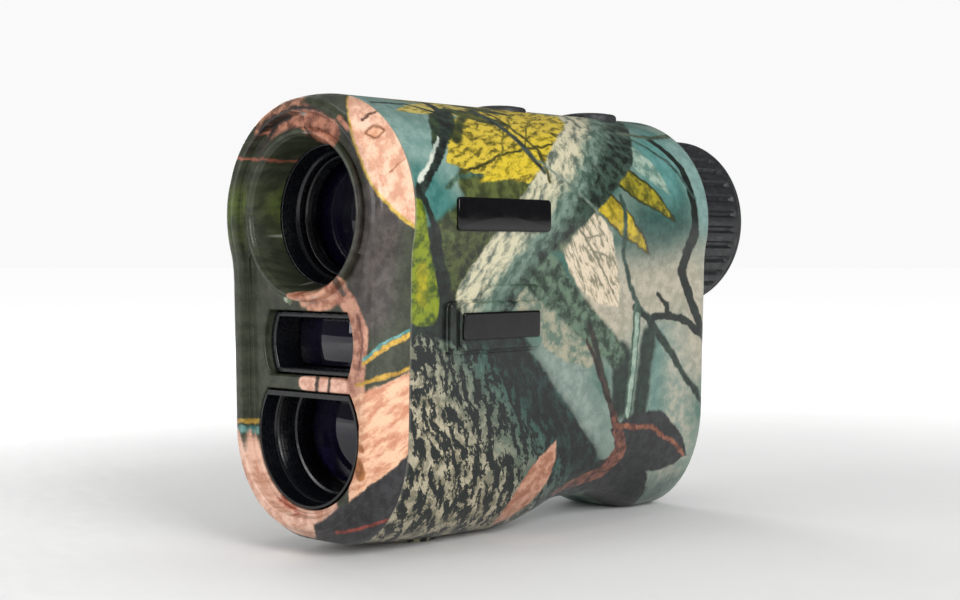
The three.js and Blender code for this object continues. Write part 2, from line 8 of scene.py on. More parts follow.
import bmesh
import bpy
import numpy as np
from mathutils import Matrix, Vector


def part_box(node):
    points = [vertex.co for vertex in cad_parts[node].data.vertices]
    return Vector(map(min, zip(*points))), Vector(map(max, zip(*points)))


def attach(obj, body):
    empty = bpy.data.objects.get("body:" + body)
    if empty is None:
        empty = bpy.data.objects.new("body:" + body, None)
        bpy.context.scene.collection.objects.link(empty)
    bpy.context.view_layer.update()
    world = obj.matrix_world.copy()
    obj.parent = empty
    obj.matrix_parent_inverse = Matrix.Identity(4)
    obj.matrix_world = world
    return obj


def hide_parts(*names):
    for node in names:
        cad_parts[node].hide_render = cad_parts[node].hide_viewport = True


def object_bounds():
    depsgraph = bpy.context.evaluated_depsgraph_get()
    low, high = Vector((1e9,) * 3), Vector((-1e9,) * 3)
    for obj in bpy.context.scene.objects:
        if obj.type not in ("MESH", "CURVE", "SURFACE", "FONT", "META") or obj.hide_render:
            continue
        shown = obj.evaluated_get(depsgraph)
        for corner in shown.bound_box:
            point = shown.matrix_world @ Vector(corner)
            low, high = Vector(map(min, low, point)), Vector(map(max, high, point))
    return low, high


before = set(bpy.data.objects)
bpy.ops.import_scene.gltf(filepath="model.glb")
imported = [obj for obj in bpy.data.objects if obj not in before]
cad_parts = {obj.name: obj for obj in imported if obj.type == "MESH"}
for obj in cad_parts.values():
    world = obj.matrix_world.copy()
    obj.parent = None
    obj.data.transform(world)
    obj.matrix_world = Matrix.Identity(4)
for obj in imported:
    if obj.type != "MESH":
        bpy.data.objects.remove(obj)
cad_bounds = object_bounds()

# ---- Driving dimensions, in millimetres, taken from the frame where it has them ----
MM = 0.001
FRONT_Y = cad_bounds[0].y


def extent(node):
    """A CAD node's lowest and highest corner as (x, depth, z) in millimetres."""
    low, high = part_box(node)
    return tuple((c.x / MM, (c.y - FRONT_Y) / MM, c.z / MM) for c in (low, high))


def middle(node, axis):
    low, high = extent(node)
    return (low[axis] + high[axis]) / 2


SIGHT_Z = middle("objective_cell", 2)
EMITTER_Z = middle("laser_diode", 2)
RECEIVER_Z = middle("detector", 2)
BEZEL_BACK = 7.3
HOUSING_BACK = extent("main_housing")[1][1]
COVER_FRONT, COVER_BACK = (corner[1] for corner in extent("rear_cover"))
LENGTH = extent("eyecup")[1][1]
TRIPOD_DEPTH = middle("tripod_insert", 1)
GAP = 0.3
WALL = 2.8

# The casing's cross-sections, as in the CAD: round top, flat sides, round lower corners, narrow flat.
BODY = dict(top=20.0, waist=18.95, low=18.45, flat=4.0, blend=14.0)
FACE = dict(top=19.1, waist=17.2, low=16.6, flat=1.5, blend=20.0)
BLEND_END_Z = 43.0
SIDE_END_Z = 20.4
FACE_BOTTOM_Z = 4.1
BELLY_DEPTH = (7.3, 14, 24, 40, 44, 48, 52, 57, 66, 71, 75, 78, 86.5, 89)
BELLY_Z = (1.7, 1.1, 0.6, 0.3, 0.9, 2.2, 3.7, 4.2, 3.6, 2.4, 0.7, -0.3, -0.3, 0.3)


# ---- Mesh tools ----
def add_object(name, vertices, faces):
    """A closed mesh object from points in millimetres, with its normals facing out."""
    points = np.asarray(vertices, float) * MM
    points[:, 1] += FRONT_Y
    mesh = bpy.data.meshes.new(name)
    mesh.from_pydata(points.tolist(), [], faces)
    work = bmesh.new()
    work.from_mesh(mesh)
    bmesh.ops.remove_doubles(work, verts=work.verts, dist=1e-6)
    bmesh.ops.dissolve_degenerate(work, edges=work.edges, dist=1e-7)
    bmesh.ops.recalc_face_normals(work, faces=work.faces)
    work.to_mesh(mesh)
    work.free()
    piece = bpy.data.objects.new(name, mesh)
    bpy.context.scene.collection.objects.link(piece)
    return smoothed(piece)


def smoothed(piece, angle=32):
    piece.data.shade_smooth()
    piece.data.set_sharp_from_angle(angle=math.radians(angle))
    return piece


def skin(name, rows, loop=False):
    """A closed mesh through rings of points. loop joins the last ring to the first, in place of end caps."""
    rows = np.asarray(rows, float)
    count, ring = rows.shape[:2]
    faces = []
    for i in range(count if loop else count - 1):
        for j in range(ring):
            a, b = i * ring + j, i * ring + (j + 1) % ring
            shift = ((i + 1) % count - i) * ring
            faces.append((a, b, b + shift, a + shift))
    if not loop:
        faces.append(tuple(range(ring)))
        faces.append(tuple((count - 1) * ring + j for j in range(ring)))
    return add_object(name, rows.reshape(-1, 3), faces)


def rounded(points, radius, closed=True, steps=3):
    """An outline with each corner turned into a small curve."""
    out = []
    for i, point in enumerate(points):
        p = Vector(point)
        if not closed and i in (0, len(points) - 1):
            out.append(tuple(p))
            continue
        before = Vector(points[i - 1]) - p
        after = Vector(points[(i + 1) % len(points)]) - p
        reach = min(radius, 0.45 * before.length, 0.45 * after.length)
        start, end = p + before.normalized() * reach, p + after.normalized() * reach
        for k in range(steps + 1):
            t = k / steps
            out.append(tuple((1 - t) ** 2 * start + 2 * t * (1 - t) * p + t * t * end))
    return out


def spun(name, profile, place, segments, edge):
    """A part turned from (radius, distance along the axis) points. place puts a ring's points in space."""
    closed = profile[0][0] > 0
    angles = np.linspace(0, 2 * math.pi, segments, endpoint=False)
    rows = [
        np.stack(place(r * np.cos(angles), r * np.sin(angles), np.full(segments, along)), 1)
        for r, along in rounded(profile, edge, closed)
    ]
    return skin(name, rows, loop=closed)


def turned(name, profile, z=SIGHT_Z, x=0.0, segments=96, edge=0.12):
    """A part turned about a line along Y, from (radius, depth) points."""
    return spun(name, profile, lambda a, b, depth: (x + a, depth, z + b), segments, edge)


def upright(name, profile, depth, edge=0.12):
    """A part turned about a vertical line, from (radius, height) points."""
    return spun(name, profile, lambda a, b, z: (a, depth + b, z), 96, edge)


def carve(piece, *tools):
    """Cuts the tools from the piece and removes them."""
    for tool in tools:
        cut = piece.modifiers.new("cut", "BOOLEAN")
        cut.operation, cut.object, cut.solver = "DIFFERENCE", tool, "EXACT"
    shaped = piece.evaluated_get(bpy.context.evaluated_depsgraph_get())
    old, piece.data = piece.data, bpy.data.meshes.new_from_object(shaped)
    piece.modifiers.clear()
    bpy.data.meshes.remove(old)
    for tool in tools:
        bpy.data.objects.remove(tool)
    return smoothed(piece)


def bent(start, corner, end, steps):
    """Points along a quadratic curve from start to end that is pulled towards the corner."""
    return [(1 - t) ** 2 * start + 2 * t * (1 - t) * corner + t * t * end for t in np.linspace(0, 1, steps)]


def section(kind, bottom, inset=0.0):
    """The casing's outline as (x, z) points, counter-clockwise from the bottom, pushed in by inset."""
    top, waist, low = kind["top"] - inset, kind["waist"] - inset, kind["low"] - inset
    bottom = bottom + inset
    floor = bottom if inset > 0 else max(bottom, 0)
    a = np.linspace(0, math.pi / 2, 16)
    x = kind["flat"] + (low - kind["flat"]) * np.sin(a)
    z = np.maximum(floor, SIDE_END_Z - (SIDE_END_Z - bottom) * np.cos(a))
    blend = math.radians(kind["blend"])
    start = np.array([waist, BLEND_END_Z])
    end = np.array([top * math.cos(blend), SIGHT_Z - top * math.sin(blend)])
    corner = np.array([waist, end[1] - (end[0] - waist) / math.tan(blend)])
    rise = BLEND_END_Z - SIDE_END_Z
    side = [(low + (waist - low) * t, SIDE_END_Z + rise * t) for t in np.linspace(0.1, 0.9, 9)]
    curve = bent(start, corner, end, 8)
    arc = np.linspace(-blend, math.pi / 2, 34)[1:]
    crown = np.stack([top * np.cos(arc), SIGHT_Z + top * np.sin(arc)], 1)
    right = np.vstack([np.stack([x, z], 1), side, curve, crown])
    left = right[:-1][::-1] * (-1, 1)
    return np.vstack([right, left])


def station(depth, outline):
    """A ring of (x, depth, z) points from an (x, z) outline."""
    outline = np.asarray(outline)
    return np.stack([outline[:, 0], np.full(len(outline), depth), outline[:, 1]], 1)


def belly(depth):
    """Height of the casing's lowest line: front belly, finger arch and rear foot, with soft turns."""
    near = depth + np.linspace(-2, 2, 9)
    return float(np.interp(near, BELLY_DEPTH, BELLY_Z).mean())


def mixed(a, b, t):
    return {key: a[key] + (b[key] - a[key]) * t for key in a}


def window(centre_z, radius, low, high, grow=0.0):
    """A circle cut flat at low and high, as (x, z) points, all pushed out by grow."""
    radius, low, high = radius + grow, low - grow, high + grow
    a = math.asin(max(-1.0, (low - centre_z) / radius))
    b = math.asin(min(1.0, (high - centre_z) / radius))
    arc = np.linspace(a, b, 36)
    right = np.stack([radius * np.cos(arc), centre_z + radius * np.sin(arc)], 1)
    across = np.linspace(1, -1, 12)[1:-1]
    top = np.stack([right[-1, 0] * across, np.full_like(across, right[-1, 1])], 1)
    under = np.stack([-right[0, 0] * across, np.full_like(across, right[0, 1])], 1)
    return np.vstack([right, top, right[::-1] * (-1, 1), under])


def flat_on_side(x, depth, z):
    return x, depth, z


def round_the_side(rise, depth, v):
    """Lays a flat plate on the round upper casing: v is the height measured round the casing."""
    angle = (v - SIGHT_Z) / BODY["top"]
    r = BODY["top"] + rise
    return r * math.cos(angle), depth, SIGHT_Z + r * math.sin(angle)


def pad(name, outline, base, top, edge=0.3, place=flat_on_side):
    """A plate with a rounded rim, from a (depth, z) outline, between two X values."""
    flat = np.asarray(outline, float)
    along = np.roll(flat, -1, 0) - np.roll(flat, 1, 0)
    inward = np.stack([-along[:, 1], along[:, 0]], 1) / np.linalg.norm(along, axis=1)[:, None]
    levels = [(0.0, base), (0.0, top - edge)]
    rim = np.linspace(0.3, math.pi / 2, 5)
    levels += [(edge * (1 - math.cos(a)), top - edge + edge * math.sin(a)) for a in rim]
    rings = [(flat + inward * inset, x) for inset, x in levels]
    last, centre = rings[-1][0], flat.mean(0)
    rings += [(centre + (last - centre) * share, top) for share in np.linspace(0.94, 0.06, 9)]
    return skin(name, [[place(x, depth, z) for depth, z in ring] for ring, x in rings])


def rectangle(depth0, depth1, z0, z1, radius):
    corners = [(depth0, z0), (depth1, z0), (depth1, z1), (depth0, z1)]
    return rounded(corners, radius, steps=6)


# ---- Casing ----
PORT = dict(front=14.9, step=23.4, back=38.6, low=33.0, mid=41.9, high=44.3, seat=19.3)
PORT_MOUTH = (24.6, 36.4, 34.6, 40.8)
TRIPOD_BORE_R, TRIPOD_BORE_TOP = 4.2, 7.8
FLAP_BASE = PORT["seat"] + 0.1
FLAP_TOP = extent("port_cover")[1][0]


def make_shell():
    """The hollow main housing, from its front edge round the rear lip and back along the inside."""
    fillet, lip, rebate = 3.0, 5.2, 2.0
    flat_end = HOUSING_BACK - fillet
    front = BEZEL_BACK + 0.1
    outside = [(front, 0.25), (front + 0.25, 0.03)]
    outside += [(depth, 0.0) for depth in np.arange(BEZEL_BACK + 1.2, flat_end, 1.3)]
    turn = np.linspace(0, math.radians(86), 12)
    outside += [(flat_end + fillet * math.sin(a), fillet * (1 - math.cos(a))) for a in turn]
    inside = [(HOUSING_BACK - 0.1, fillet), (COVER_FRONT - 0.1, fillet)]
    inside += [(COVER_FRONT - 0.1, lip), (84.3, lip)]
    inside += [(depth, WALL) for depth in np.arange(84.2, 11.5, -2.5)]
    inside += [(11.2, WALL), (11.2, rebate), (front, rebate)]
    rows = []
    for depth, inset in outside:
        smaller = {key: BODY[key] - inset for key in ("top", "waist", "low")}
        rows.append(station(depth, section({**BODY, **smaller}, belly(depth) + inset)))
    rows += [station(depth, section(BODY, max(0, belly(depth)), inset)) for depth, inset in inside]
    shell = skin("housing_shell", rows, loop=True)
    holes = [button_hole(node) for node in BUTTONS]
    bore_profile = [(0, -2), (TRIPOD_BORE_R, -2), (TRIPOD_BORE_R, TRIPOD_BORE_TOP), (0, TRIPOD_BORE_TOP)]
    bore = upright("bore", bore_profile, TRIPOD_DEPTH, edge=0)
    return carve(shell, port_mouth(), bore, *holes)


def port_mouth():
    return pad("mouth", rectangle(*PORT_MOUTH, 1.5), 12, 22)


BUTTONS = ("power_button", "mode_button")


def button_radius(node):
    """The radius of the cap above the button's flange."""
    low, high = extent(node)
    return (high[0] - low[0]) / 2 - 0.8


def button_hole(node):
    """A cutter for a button's hole, with a softened upper edge."""
    r = button_radius(node) + 0.2
    profile = [(0, 65), (r, 65), (r, 75.1), (r + 0.12, 75.5), (r + 0.5, 75.9), (r + 2, 77.2), (0, 77.2)]
    return upright(node + "_hole", profile, middle(node, 1), edge=0.05)


def make_tripod_boss():
    profile = [(TRIPOD_BORE_R, 0), (5.2, 0), (6.2, 1.4), (6.4, 9.2), (3, 9.2)]
    profile += [(3, TRIPOD_BORE_TOP), (TRIPOD_BORE_R, TRIPOD_BORE_TOP)]
    return upright("tripod_boss", profile, TRIPOD_DEPTH, edge=0.2)


def make_port_seat():
    """The raised pad round the charging port, stepped along its top."""
    front, step, back, low, mid, high, seat_x = PORT.values()
    corners = [(front, low), (back, low), (back, high), (step, high), (step, mid), (front, mid)]
    seat = pad("port_seat", rounded(corners, 1.9, steps=6), 16.6, seat_x, edge=0.35)
    return carve(seat, port_mouth())


# ---- Front bezel ----
LIP_CREST, LIP_CREST_DEPTH = 1.35, 1.3
FACE_DEPTH, PANEL_DEPTH = 1.5, 1.95
WINDOW = dict(radius=10.9, low=29.4, high=40.1)
RECEIVER_R, RECEIVER_HIGH = 12.4, 27.0


def make_bezel():
    """The front bezel: a domed rim with a narrow crest, a recessed face and the panel with the windows."""
    stops = [(FACE_DEPTH, 3.0), (FACE_DEPTH, 2.72), (FACE_DEPTH - 0.1, 2.62), (0.5, 2.42), (0.15, 2.3)]
    stops += [(0.02, 2.1), (0.0, 1.95), (0.0, 1.6), (0.03, 1.45)]
    dome = np.linspace(0.12, math.pi / 2, 9)
    stops += [(0.05 + 1.25 * (1 - math.cos(a)), LIP_CREST * (1 - math.sin(a))) for a in dome]
    rows = [station(depth, section(FACE, FACE_BOTTOM_Z, inset)) for depth, inset in stops]
    back_bottom = belly(BEZEL_BACK)
    for share in np.linspace(0.06, 1, 14):
        flare = 1 - (1 - share) ** 1.8
        bottom = FACE_BOTTOM_Z + (back_bottom - FACE_BOTTOM_Z) * flare
        depth = LIP_CREST_DEPTH + (BEZEL_BACK - 0.25 - LIP_CREST_DEPTH) * share
        rows.append(station(depth, section(mixed(FACE, BODY, flare), bottom)))
    for depth, inset in ((BEZEL_BACK, 0.2), (BEZEL_BACK, 2.0), (3.8, 2.6)):
        rows.append(station(depth, section(BODY, back_bottom, inset)))
    hood_hole = turned("hood_hole", [(0, -2), (13.6, -2), (13.6, 9), (0, 9)], edge=0)
    return carve(skin("bezel", rows), panel_cutter(), hood_hole, *window_cutters())


def panel_cutter():
    """A cutter for the shallow panel round the two lower windows."""
    rows = []
    for depth, inset in ((-1, 3.1), (FACE_DEPTH, 3.25), (PANEL_DEPTH - 0.1, 3.35), (PANEL_DEPTH, 3.5)):
        points = section(FACE, FACE_BOTTOM_Z, inset)
        half = points[: len(points) // 2 + 1]
        half = half[half[:, 1] < 48.2]
        corner = [(half[-1, 0] - 0.1, 48.8), (half[-1, 0] - 0.5, 49.3), (half[-1, 0] - 1.2, 49.5)]
        half = np.vstack([half, corner])
        rows.append(station(depth, np.vstack([half, half[::-1] * (-1, 1)])))
    return skin("panel_cutter", rows)


def window_cutters():
    """Cutters for the emitter and receiver windows, flared where they meet the panel to soften the edge."""
    flare = [(-1, 1.0), (PANEL_DEPTH - 0.05, 0.34), (PANEL_DEPTH + 0.06, 0.17), (PANEL_DEPTH + 0.18, 0.06)]
    flare += [(PANEL_DEPTH + 0.34, 0.0), (6, 0.0)]
    shapes = {
        "emitter_cutter": (EMITTER_Z, *WINDOW.values()),
        "receiver_cutter": (RECEIVER_Z, RECEIVER_R, RECEIVER_Z - 2 * RECEIVER_R, RECEIVER_HIGH),
    }
    return [
        skin(name, [station(depth, window(*shape, grow)) for depth, grow in flare])
        for name, shape in shapes.items()
    ]


def make_hood():
    """The objective's raised ring and the tapered recess behind it."""
    profile = [
        (14.25, 3.4), (14.25, 1.15), (14.1, 0.72), (13.85, 0.5), (13.45, 0.45), (13.2, 0.62), (13.02, 0.95),
        (12.8, 1.25), (11.65, 6.3), (13.2, 6.3), (13.7, 4.6),
    ]
    return turned("objective_hood", profile, edge=0.08, segments=128)


# ---- Optics ----
def make_objective_cell():
    profile = [
        (11.5, 6.5), (13, 6.5), (13, 9), (12.2, 9), (12.2, 30), (9, 30), (9, 17.2), (10.5, 17.2),
        (10.5, 9.6), (10.95, 9.2),
    ]
    return turned("objective_barrel", profile, segments=128, edge=0.1)


def make_objective_ring():
    profile = [(10.2, 10.5), (10.2, 12.9), (9.75, 12.9), (9.45, 12.3), (9.45, 11.3), (9.75, 10.8)]
    profile += [(9.95, 10.5)]
    return turned("objective_ring", profile, segments=128, edge=0.08)


def lens(name, node, radius, bulge_front, bulge_back, z=SIGHT_Z):
    """A round lens that fills a node's depth, bulging towards the front and the back."""
    front, back = extent(node)[0][1], extent(node)[1][1]
    shares = np.linspace(0, 1, 14)
    profile = [(radius * s, front + bulge_front * s * s) for s in shares]
    profile += [(radius * s, back - bulge_back * s * s) for s in shares[::-1]]
    return turned(name, profile, z, segments=128, edge=0.0)


def make_emitter_cell():
    """A flattened tube behind the middle window, with the diode's smaller opening at its back."""
    radius, low, high = WINDOW["radius"] - GAP, WINDOW["low"] + GAP, WINDOW["high"] - GAP
    stops = [(3.4, 0), (3.4, 0.7), (3.7, 0.9), (10.2, 0.9), (10.2, 1.9), (19.6, 1.9), (19.6, 0)]
    rows = [
        station(depth, window(EMITTER_Z, radius - inset, low + inset, high - inset))
        for depth, inset in rounded(stops, 0.1)
    ]
    return skin("emitter_barrel", rows, loop=True)


def make_emitter_lens():
    """A lens that fills the emitter's flattened tube, bulging towards the front."""
    radius, bulge = 9.4, 1.3
    low, high = extent("emitter_lens")
    edge = window(EMITTER_Z, radius, low[2], high[2]) - (0, EMITTER_Z)
    rows = [station(high[1], edge + (0, EMITTER_Z))]
    for share in np.linspace(1, 0.04, 16):
        ring = station(low[1], edge * share + (0, EMITTER_Z))
        ring[:, 1] += bulge * ((edge * share) ** 2).sum(1) / radius**2
        rows.append(ring)
    return skin("emitter_glass", rows)


def make_receiver_cell():
    """The receiver's cone, stepped inside; its front is cut flat under the bridge between the windows."""
    bridge, inner_bridge = RECEIVER_HIGH - GAP, RECEIVER_HIGH - 1.1
    stops = [
        (1.98, 12.1, bridge), (4.1, 12.1, bridge), (4.1, 12.1, 29.3), (18.2, 12.1, 29.3), (18.2, 7.1, 29.3),
        (12.9, 7.5, 29.3), (12.8, 9.85, 28.4), (8.45, 10.0, 28.4), (8.3, 10.4, 28.4), (5.2, 11.0, 28.4),
        (5.0, 11.15, 28.4), (4.85, 11.15, inner_bridge), (4.6, 11.4, inner_bridge),
        (1.98, 11.7, inner_bridge),
    ]
    rows = [station(d, window(RECEIVER_Z, r, RECEIVER_Z - 2 * r, high)) for d, r, high in stops]
    return skin("receiver_barrel", rows, loop=True)


# ---- Labels, port flap and buttons ----
def outline_of(node, radius):
    """The rectangle that a node fills on the side, with rounded corners."""
    low, high = extent(node)
    return rectangle(low[1], high[1], low[2], high[2], radius)


def make_brand_plate():
    return pad("brand_label", outline_of("brand_plate", 0.9), 0.05, 0.5, edge=0.3, place=round_the_side)


def make_model_plate():
    return pad("model_label", outline_of("model_plate", 0.6), FLAP_TOP + 0.02, FLAP_TOP + 0.34, edge=0.25)


def make_port_flap():
    """The flap, with a raised rim round its label."""
    flap = pad("port_flap", outline_of("port_cover", 1.5), FLAP_BASE, FLAP_TOP, edge=0.28)
    recess = rectangle(17.75, 37.1, 35.2, 40.1, 0.7)
    return carve(flap, pad("recess", recess, FLAP_TOP - 0.1, FLAP_TOP + 2, edge=0.02))


def make_port_plug():
    """The plug and its two sealing ribs, which close the port's mouth."""
    outline = np.asarray(rectangle(25.3, 35.7, 35.3, 40.1, 1.3))
    centre = outline.mean(0)
    stops = [(17.0, 0.93), (17.2, 0.97), (17.6, 0.97), (17.8, 1.02), (18.1, 1.02), (18.3, 0.97)]
    stops += [(18.7, 0.97), (18.9, 1.02), (19.2, 1.02), (19.45, 0.98)]
    rows = [[(x, d, z) for d, z in centre + (outline - centre) * share] for x, share in stops]
    return skin("port_plug", rows)


def make_hinge_strip():
    low, high = extent("port_hinge_strip")
    return pad("port_hinge_rib", outline_of("port_hinge_strip", 0.75), low[0] - 0.3, high[0], edge=0.5)


def make_button(node):
    """A domed rubber cap on its flange, with a shallow ring pressed into its top."""
    low, high = extent(node)
    r, base, top = button_radius(node), low[2], high[2]
    flange_r, flange_top, recess_r, recess_top = r + 0.6, 71.25, 3.4, base + 0.5
    profile = [(0, recess_top), (recess_r, recess_top), (recess_r, base), (flange_r, base)]
    profile += [(flange_r, flange_top), (r, flange_top), (r, top - 1.5), (r, top - 0.95)]
    profile += [(r - 0.12, top - 0.62), (r - 0.42, top - 0.4), (r * 0.8, top - 0.3)]
    profile += [(r * 0.78, top - 0.36), (r * 0.745, top - 0.36)]
    profile += [(r * share, top - 0.5 * share**2.6) for share in np.linspace(0.72, 0.0, 9)]
    return upright(node + "_cap", profile, middle(node, 1), edge=0.06)


# ---- Rear cover, screws and eyepiece ----
SCREWS = [f"rear_screw_{i}" for i in (1, 2, 3, 4)]


def make_rear_cover():
    stops = ((COVER_FRONT, 3.3), (COVER_BACK - 0.35, 3.3), (COVER_BACK - 0.1, 3.4), (COVER_BACK, 3.7))
    cover = skin("rear_plate", [station(depth, section(BODY, 0.3, inset)) for depth, inset in stops])
    hole = turned("hole", [(0, 80), (12.5, 80), (12.5, COVER_BACK - 0.2), (12.9, 95), (0, 95)], edge=0)
    sink = [(0, 80), (1.2, 80), (1.2, 87.2), (2, 87.2), (2, 88.45), (2.3, 89.5), (0, 89.5)]
    sinks = [turned("sink", sink, middle(node, 2), middle(node, 0), 32, edge=0) for node in SCREWS]
    return carve(cover, hole, *sinks)


def make_screw(node):
    """A pan-head screw with a cross recess."""
    x, z = middle(node, 0), middle(node, 2)
    profile = [(0, 82), (0.9, 82.3), (0.9, 87.4), (1.7, 87.4), (1.7, 88.0), (1.45, 88.35)]
    profile += [(0.8, 88.5), (0, 88.5)]
    screw = turned(node + "_head", profile, z, x, 40, edge=0.06)
    arms = []
    for wide, high in ((0.95, 0.2), (0.2, 0.95)):
        outline = [(x - wide, z - high), (x + wide, z - high), (x + wide, z + high), (x - wide, z + high)]
        arms.append(skin("arm", [station(87.8, outline), station(89.5, outline)]))
    return carve(screw, *arms)


KNURLS = 34
RING_FRONT, RING_BACK = (corner[1] for corner in extent("diopter_ring"))
RING_R = extent("diopter_ring")[1][0]


def make_diopter_ring():
    """The focusing ring: flat ribs with narrow grooves between them, which run out before the plain rim."""
    inner, groove, half_width, crown_height = RING_R - 2.3, 0.62, 0.16, 0.06
    angles = np.linspace(0, 2 * math.pi, KNURLS * 20, endpoint=False)
    phase = (angles * KNURLS / (2 * math.pi)) % 1.0
    away = np.abs(phase - 0.5)
    channel = 1 - np.clip((away - half_width * 0.6) / (half_width * 0.8), 0, 1) ** 1.5
    crown = crown_height * np.cos(phase * 2 * math.pi)
    stops = [(RING_FRONT, inner), (RING_FRONT, RING_R - 0.5), (RING_FRONT + 0.25, RING_R - 0.12)]
    stops += [(d, RING_R) for d in np.linspace(RING_FRONT + 0.6, RING_BACK - 2.6, 8)]
    stops += [(d, RING_R) for d in np.linspace(RING_BACK - 2.3, RING_BACK - 0.1, 9)]
    stops += [(RING_BACK, RING_R - 0.06), (RING_BACK, inner)]
    rows = []
    for depth, r in stops:
        fade = np.clip((RING_BACK - 0.9 - depth) / 1.1, 0, 1)
        fade = fade * fade * (3 - 2 * fade) * (r > inner + 0.1)
        radius = r - groove * channel * fade + (crown - crown_height) * fade
        ring = np.stack([radius * np.cos(angles), SIGHT_Z + radius * np.sin(angles)], 1)
        rows.append(station(depth, ring))
    return skin("focus_ring", rows, loop=True)


def make_eyecup():
    front, back = extent("eyecup")[0][1], LENGTH
    profile = [
        (10.25, 100.7), (13.2, front), (14.2, front), (14.2, RING_BACK + 0.1), (RING_R, RING_BACK + 0.1),
        (RING_R, back - 1.0), (RING_R - 0.5, back - 0.3), (RING_R - 1.3, back), (RING_R - 2.2, back),
        (RING_R - 2.9, back - 0.35), (13.0, back - 1.2), (11.4, 101.7), (10.5, 101.2),
    ]
    return turned("eye_cup", profile, segments=160, edge=0.25)


def make_eyepiece_barrel():
    profile = [
        (10, 66), (12.2, 66), (12.2, 88.7), (14.1, 88.7), (14.1, 91), (13.5, 91), (13.5, 99.4),
        (11.3, 99.4), (11.3, 67.5), (10, 67.5),
    ]
    return turned("eyepiece_tube", profile, segments=96)


def make_eye_lens_cell():
    profile = [(9.9, 84), (11, 84), (11, 98), (9.45, 98), (9.3, 97.8), (9.3, 97.4), (9.9, 97.4)]
    return turned("eye_lens_holder", profile, segments=96)


# ---- Materials: node tools ----
def srgb(code):
    """A six-digit hex colour as linear RGBA."""
    channels = [int(code[i : i + 2], 16) / 255 for i in (0, 2, 4)]
    linear = [c / 12.92 if c <= 0.04045 else ((c + 0.055) / 1.055) ** 2.4 for c in channels]
    return (*linear, 1.0)


class Nodes:
    """Short names for the sums that node trees are made of. A value is a number, a vector or a socket."""

    place = None

    def __init__(self, tree):
        self.tree = tree

    def feed(self, socket, value):
        if isinstance(value, bpy.types.NodeSocket):
            self.tree.links.new(value, socket)
        elif value is not None:
            socket.default_value = value

    def node(self, kind, *values, output=0, **settings):
        """Adds a node with these inputs and settings, and returns one of its outputs."""
        made = self.tree.nodes.new("ShaderNode" + kind)
        for name, value in settings.items():
            setattr(made, name, value)
        for socket, value in zip(made.inputs, values):
            self.feed(socket, value)
        return made.outputs[output]

    def math(self, operation, *values):
        return self.node("Math", *values, operation=operation)

    def times(self, a, b):
        return self.math("MULTIPLY", a, b)

    def minus(self, a, b):
        return self.math("SUBTRACT", a, b)

    def larger(self, a, b):
        return self.math("MAXIMUM", a, b)

    def vector(self, operation, *values):
        output = "Value" if operation in ("DOT_PRODUCT", "LENGTH") else "Vector"
        return self.node("VectorMath", *values, output=output, operation=operation)

    def scaled(self, vector, amount):
        return self.node("VectorMath", vector, None, None, amount, operation="SCALE")

    def split(self, vector):
        return self.node("SeparateXYZ", vector).node.outputs[:3]

    def joined(self, *values):
        return self.node("CombineXYZ", *values)

    def noise(self, scale, detail=3.0, roughness=0.55, place=None, output=0):
        return self.node("TexNoise", place or self.place, None, scale, detail, roughness, output=output)

    def step(self, value, low, high, start=0.0, end=1.0):
        """A smooth step from start to end as value goes from low to high."""
        shape = dict(interpolation_type="SMOOTHSTEP", clamp=False)
        return self.node("MapRange", value, low, high, start, end, **shape)

    def mix(self, a, b, share):
        """Colour a where share is 0 and b where it is 1. A colour may be a hex code."""
        colours = [srgb(c) if isinstance(c, str) else c for c in (a, b)]
        return self.node("Mix", share, *[None] * 5, *colours, output=2, data_type="RGBA")

    def group(self, tree, *values):
        return self.node("Group", *values, node_tree=tree)


class Graph(Nodes):
    """One material's nodes. self.place is a point's place in millimetres; noises are per millimetre."""

    def __init__(self, name, **sockets):
        self.material = bpy.data.materials.new(name)
        self.material.use_nodes = True
        super().__init__(self.material.node_tree)
        self.shader = self.tree.nodes["Principled BSDF"]
        for socket, value in sockets.items():
            self.shader.inputs[socket.replace("_", " ").title().replace("Ior", "IOR")].default_value = value
        self.place = self.scaled(self.node("TexCoord", output="Object"), 1 / MM)

    def finish(self, colour, roughness=None, height=None, depth=0.0):
        """Links the colour, roughness and a bump of so many millimetres, and returns the material."""
        self.feed(self.shader.inputs["Base Color"], colour)
        self.feed(self.shader.inputs["Roughness"], roughness)
        if height is not None:
            bump = self.tree.nodes.new("ShaderNodeBump")
            bump.inputs["Strength"].default_value = 1.0
            bump.inputs["Distance"].default_value = depth * MM
            self.feed(bump.inputs["Height"], height)
            self.feed(self.shader.inputs["Normal"], bump.outputs[0])
        return self.material


def shared_group(name, kinds, build):
    """A node group that gives build's result, from inputs of these kinds."""
    tree = bpy.data.node_groups.new(name, "ShaderNodeTree")
    for i, kind in enumerate(kinds):
        tree.interface.new_socket(f"In {i}", in_out="INPUT", socket_type="NodeSocket" + kind)
    start = tree.nodes.new("NodeGroupInput")
    result = build(Nodes(tree), *start.outputs[: len(kinds)])
    kind = "Color" if result.type == "RGBA" else "Float"
    tree.interface.new_socket("Out", in_out="OUTPUT", socket_type="NodeSocket" + kind)
    tree.links.new(result, tree.nodes.new("NodeGroupOutput").inputs[0])
    return tree


def segment_distance(n, place, start, run, rate, first, change):
    """Distance to a tapered line from start along run, below 0 inside it."""
    offset = n.vector("SUBTRACT", place, start)
    share = n.math("MINIMUM", n.larger(n.vector("DOT_PRODUCT", offset, rate), 0.0), 1.0)
    gap = n.vector("LENGTH", n.vector("SUBTRACT", offset, n.scaled(run, share)))
    return n.minus(gap, n.math("MULTIPLY_ADD", share, change, first))


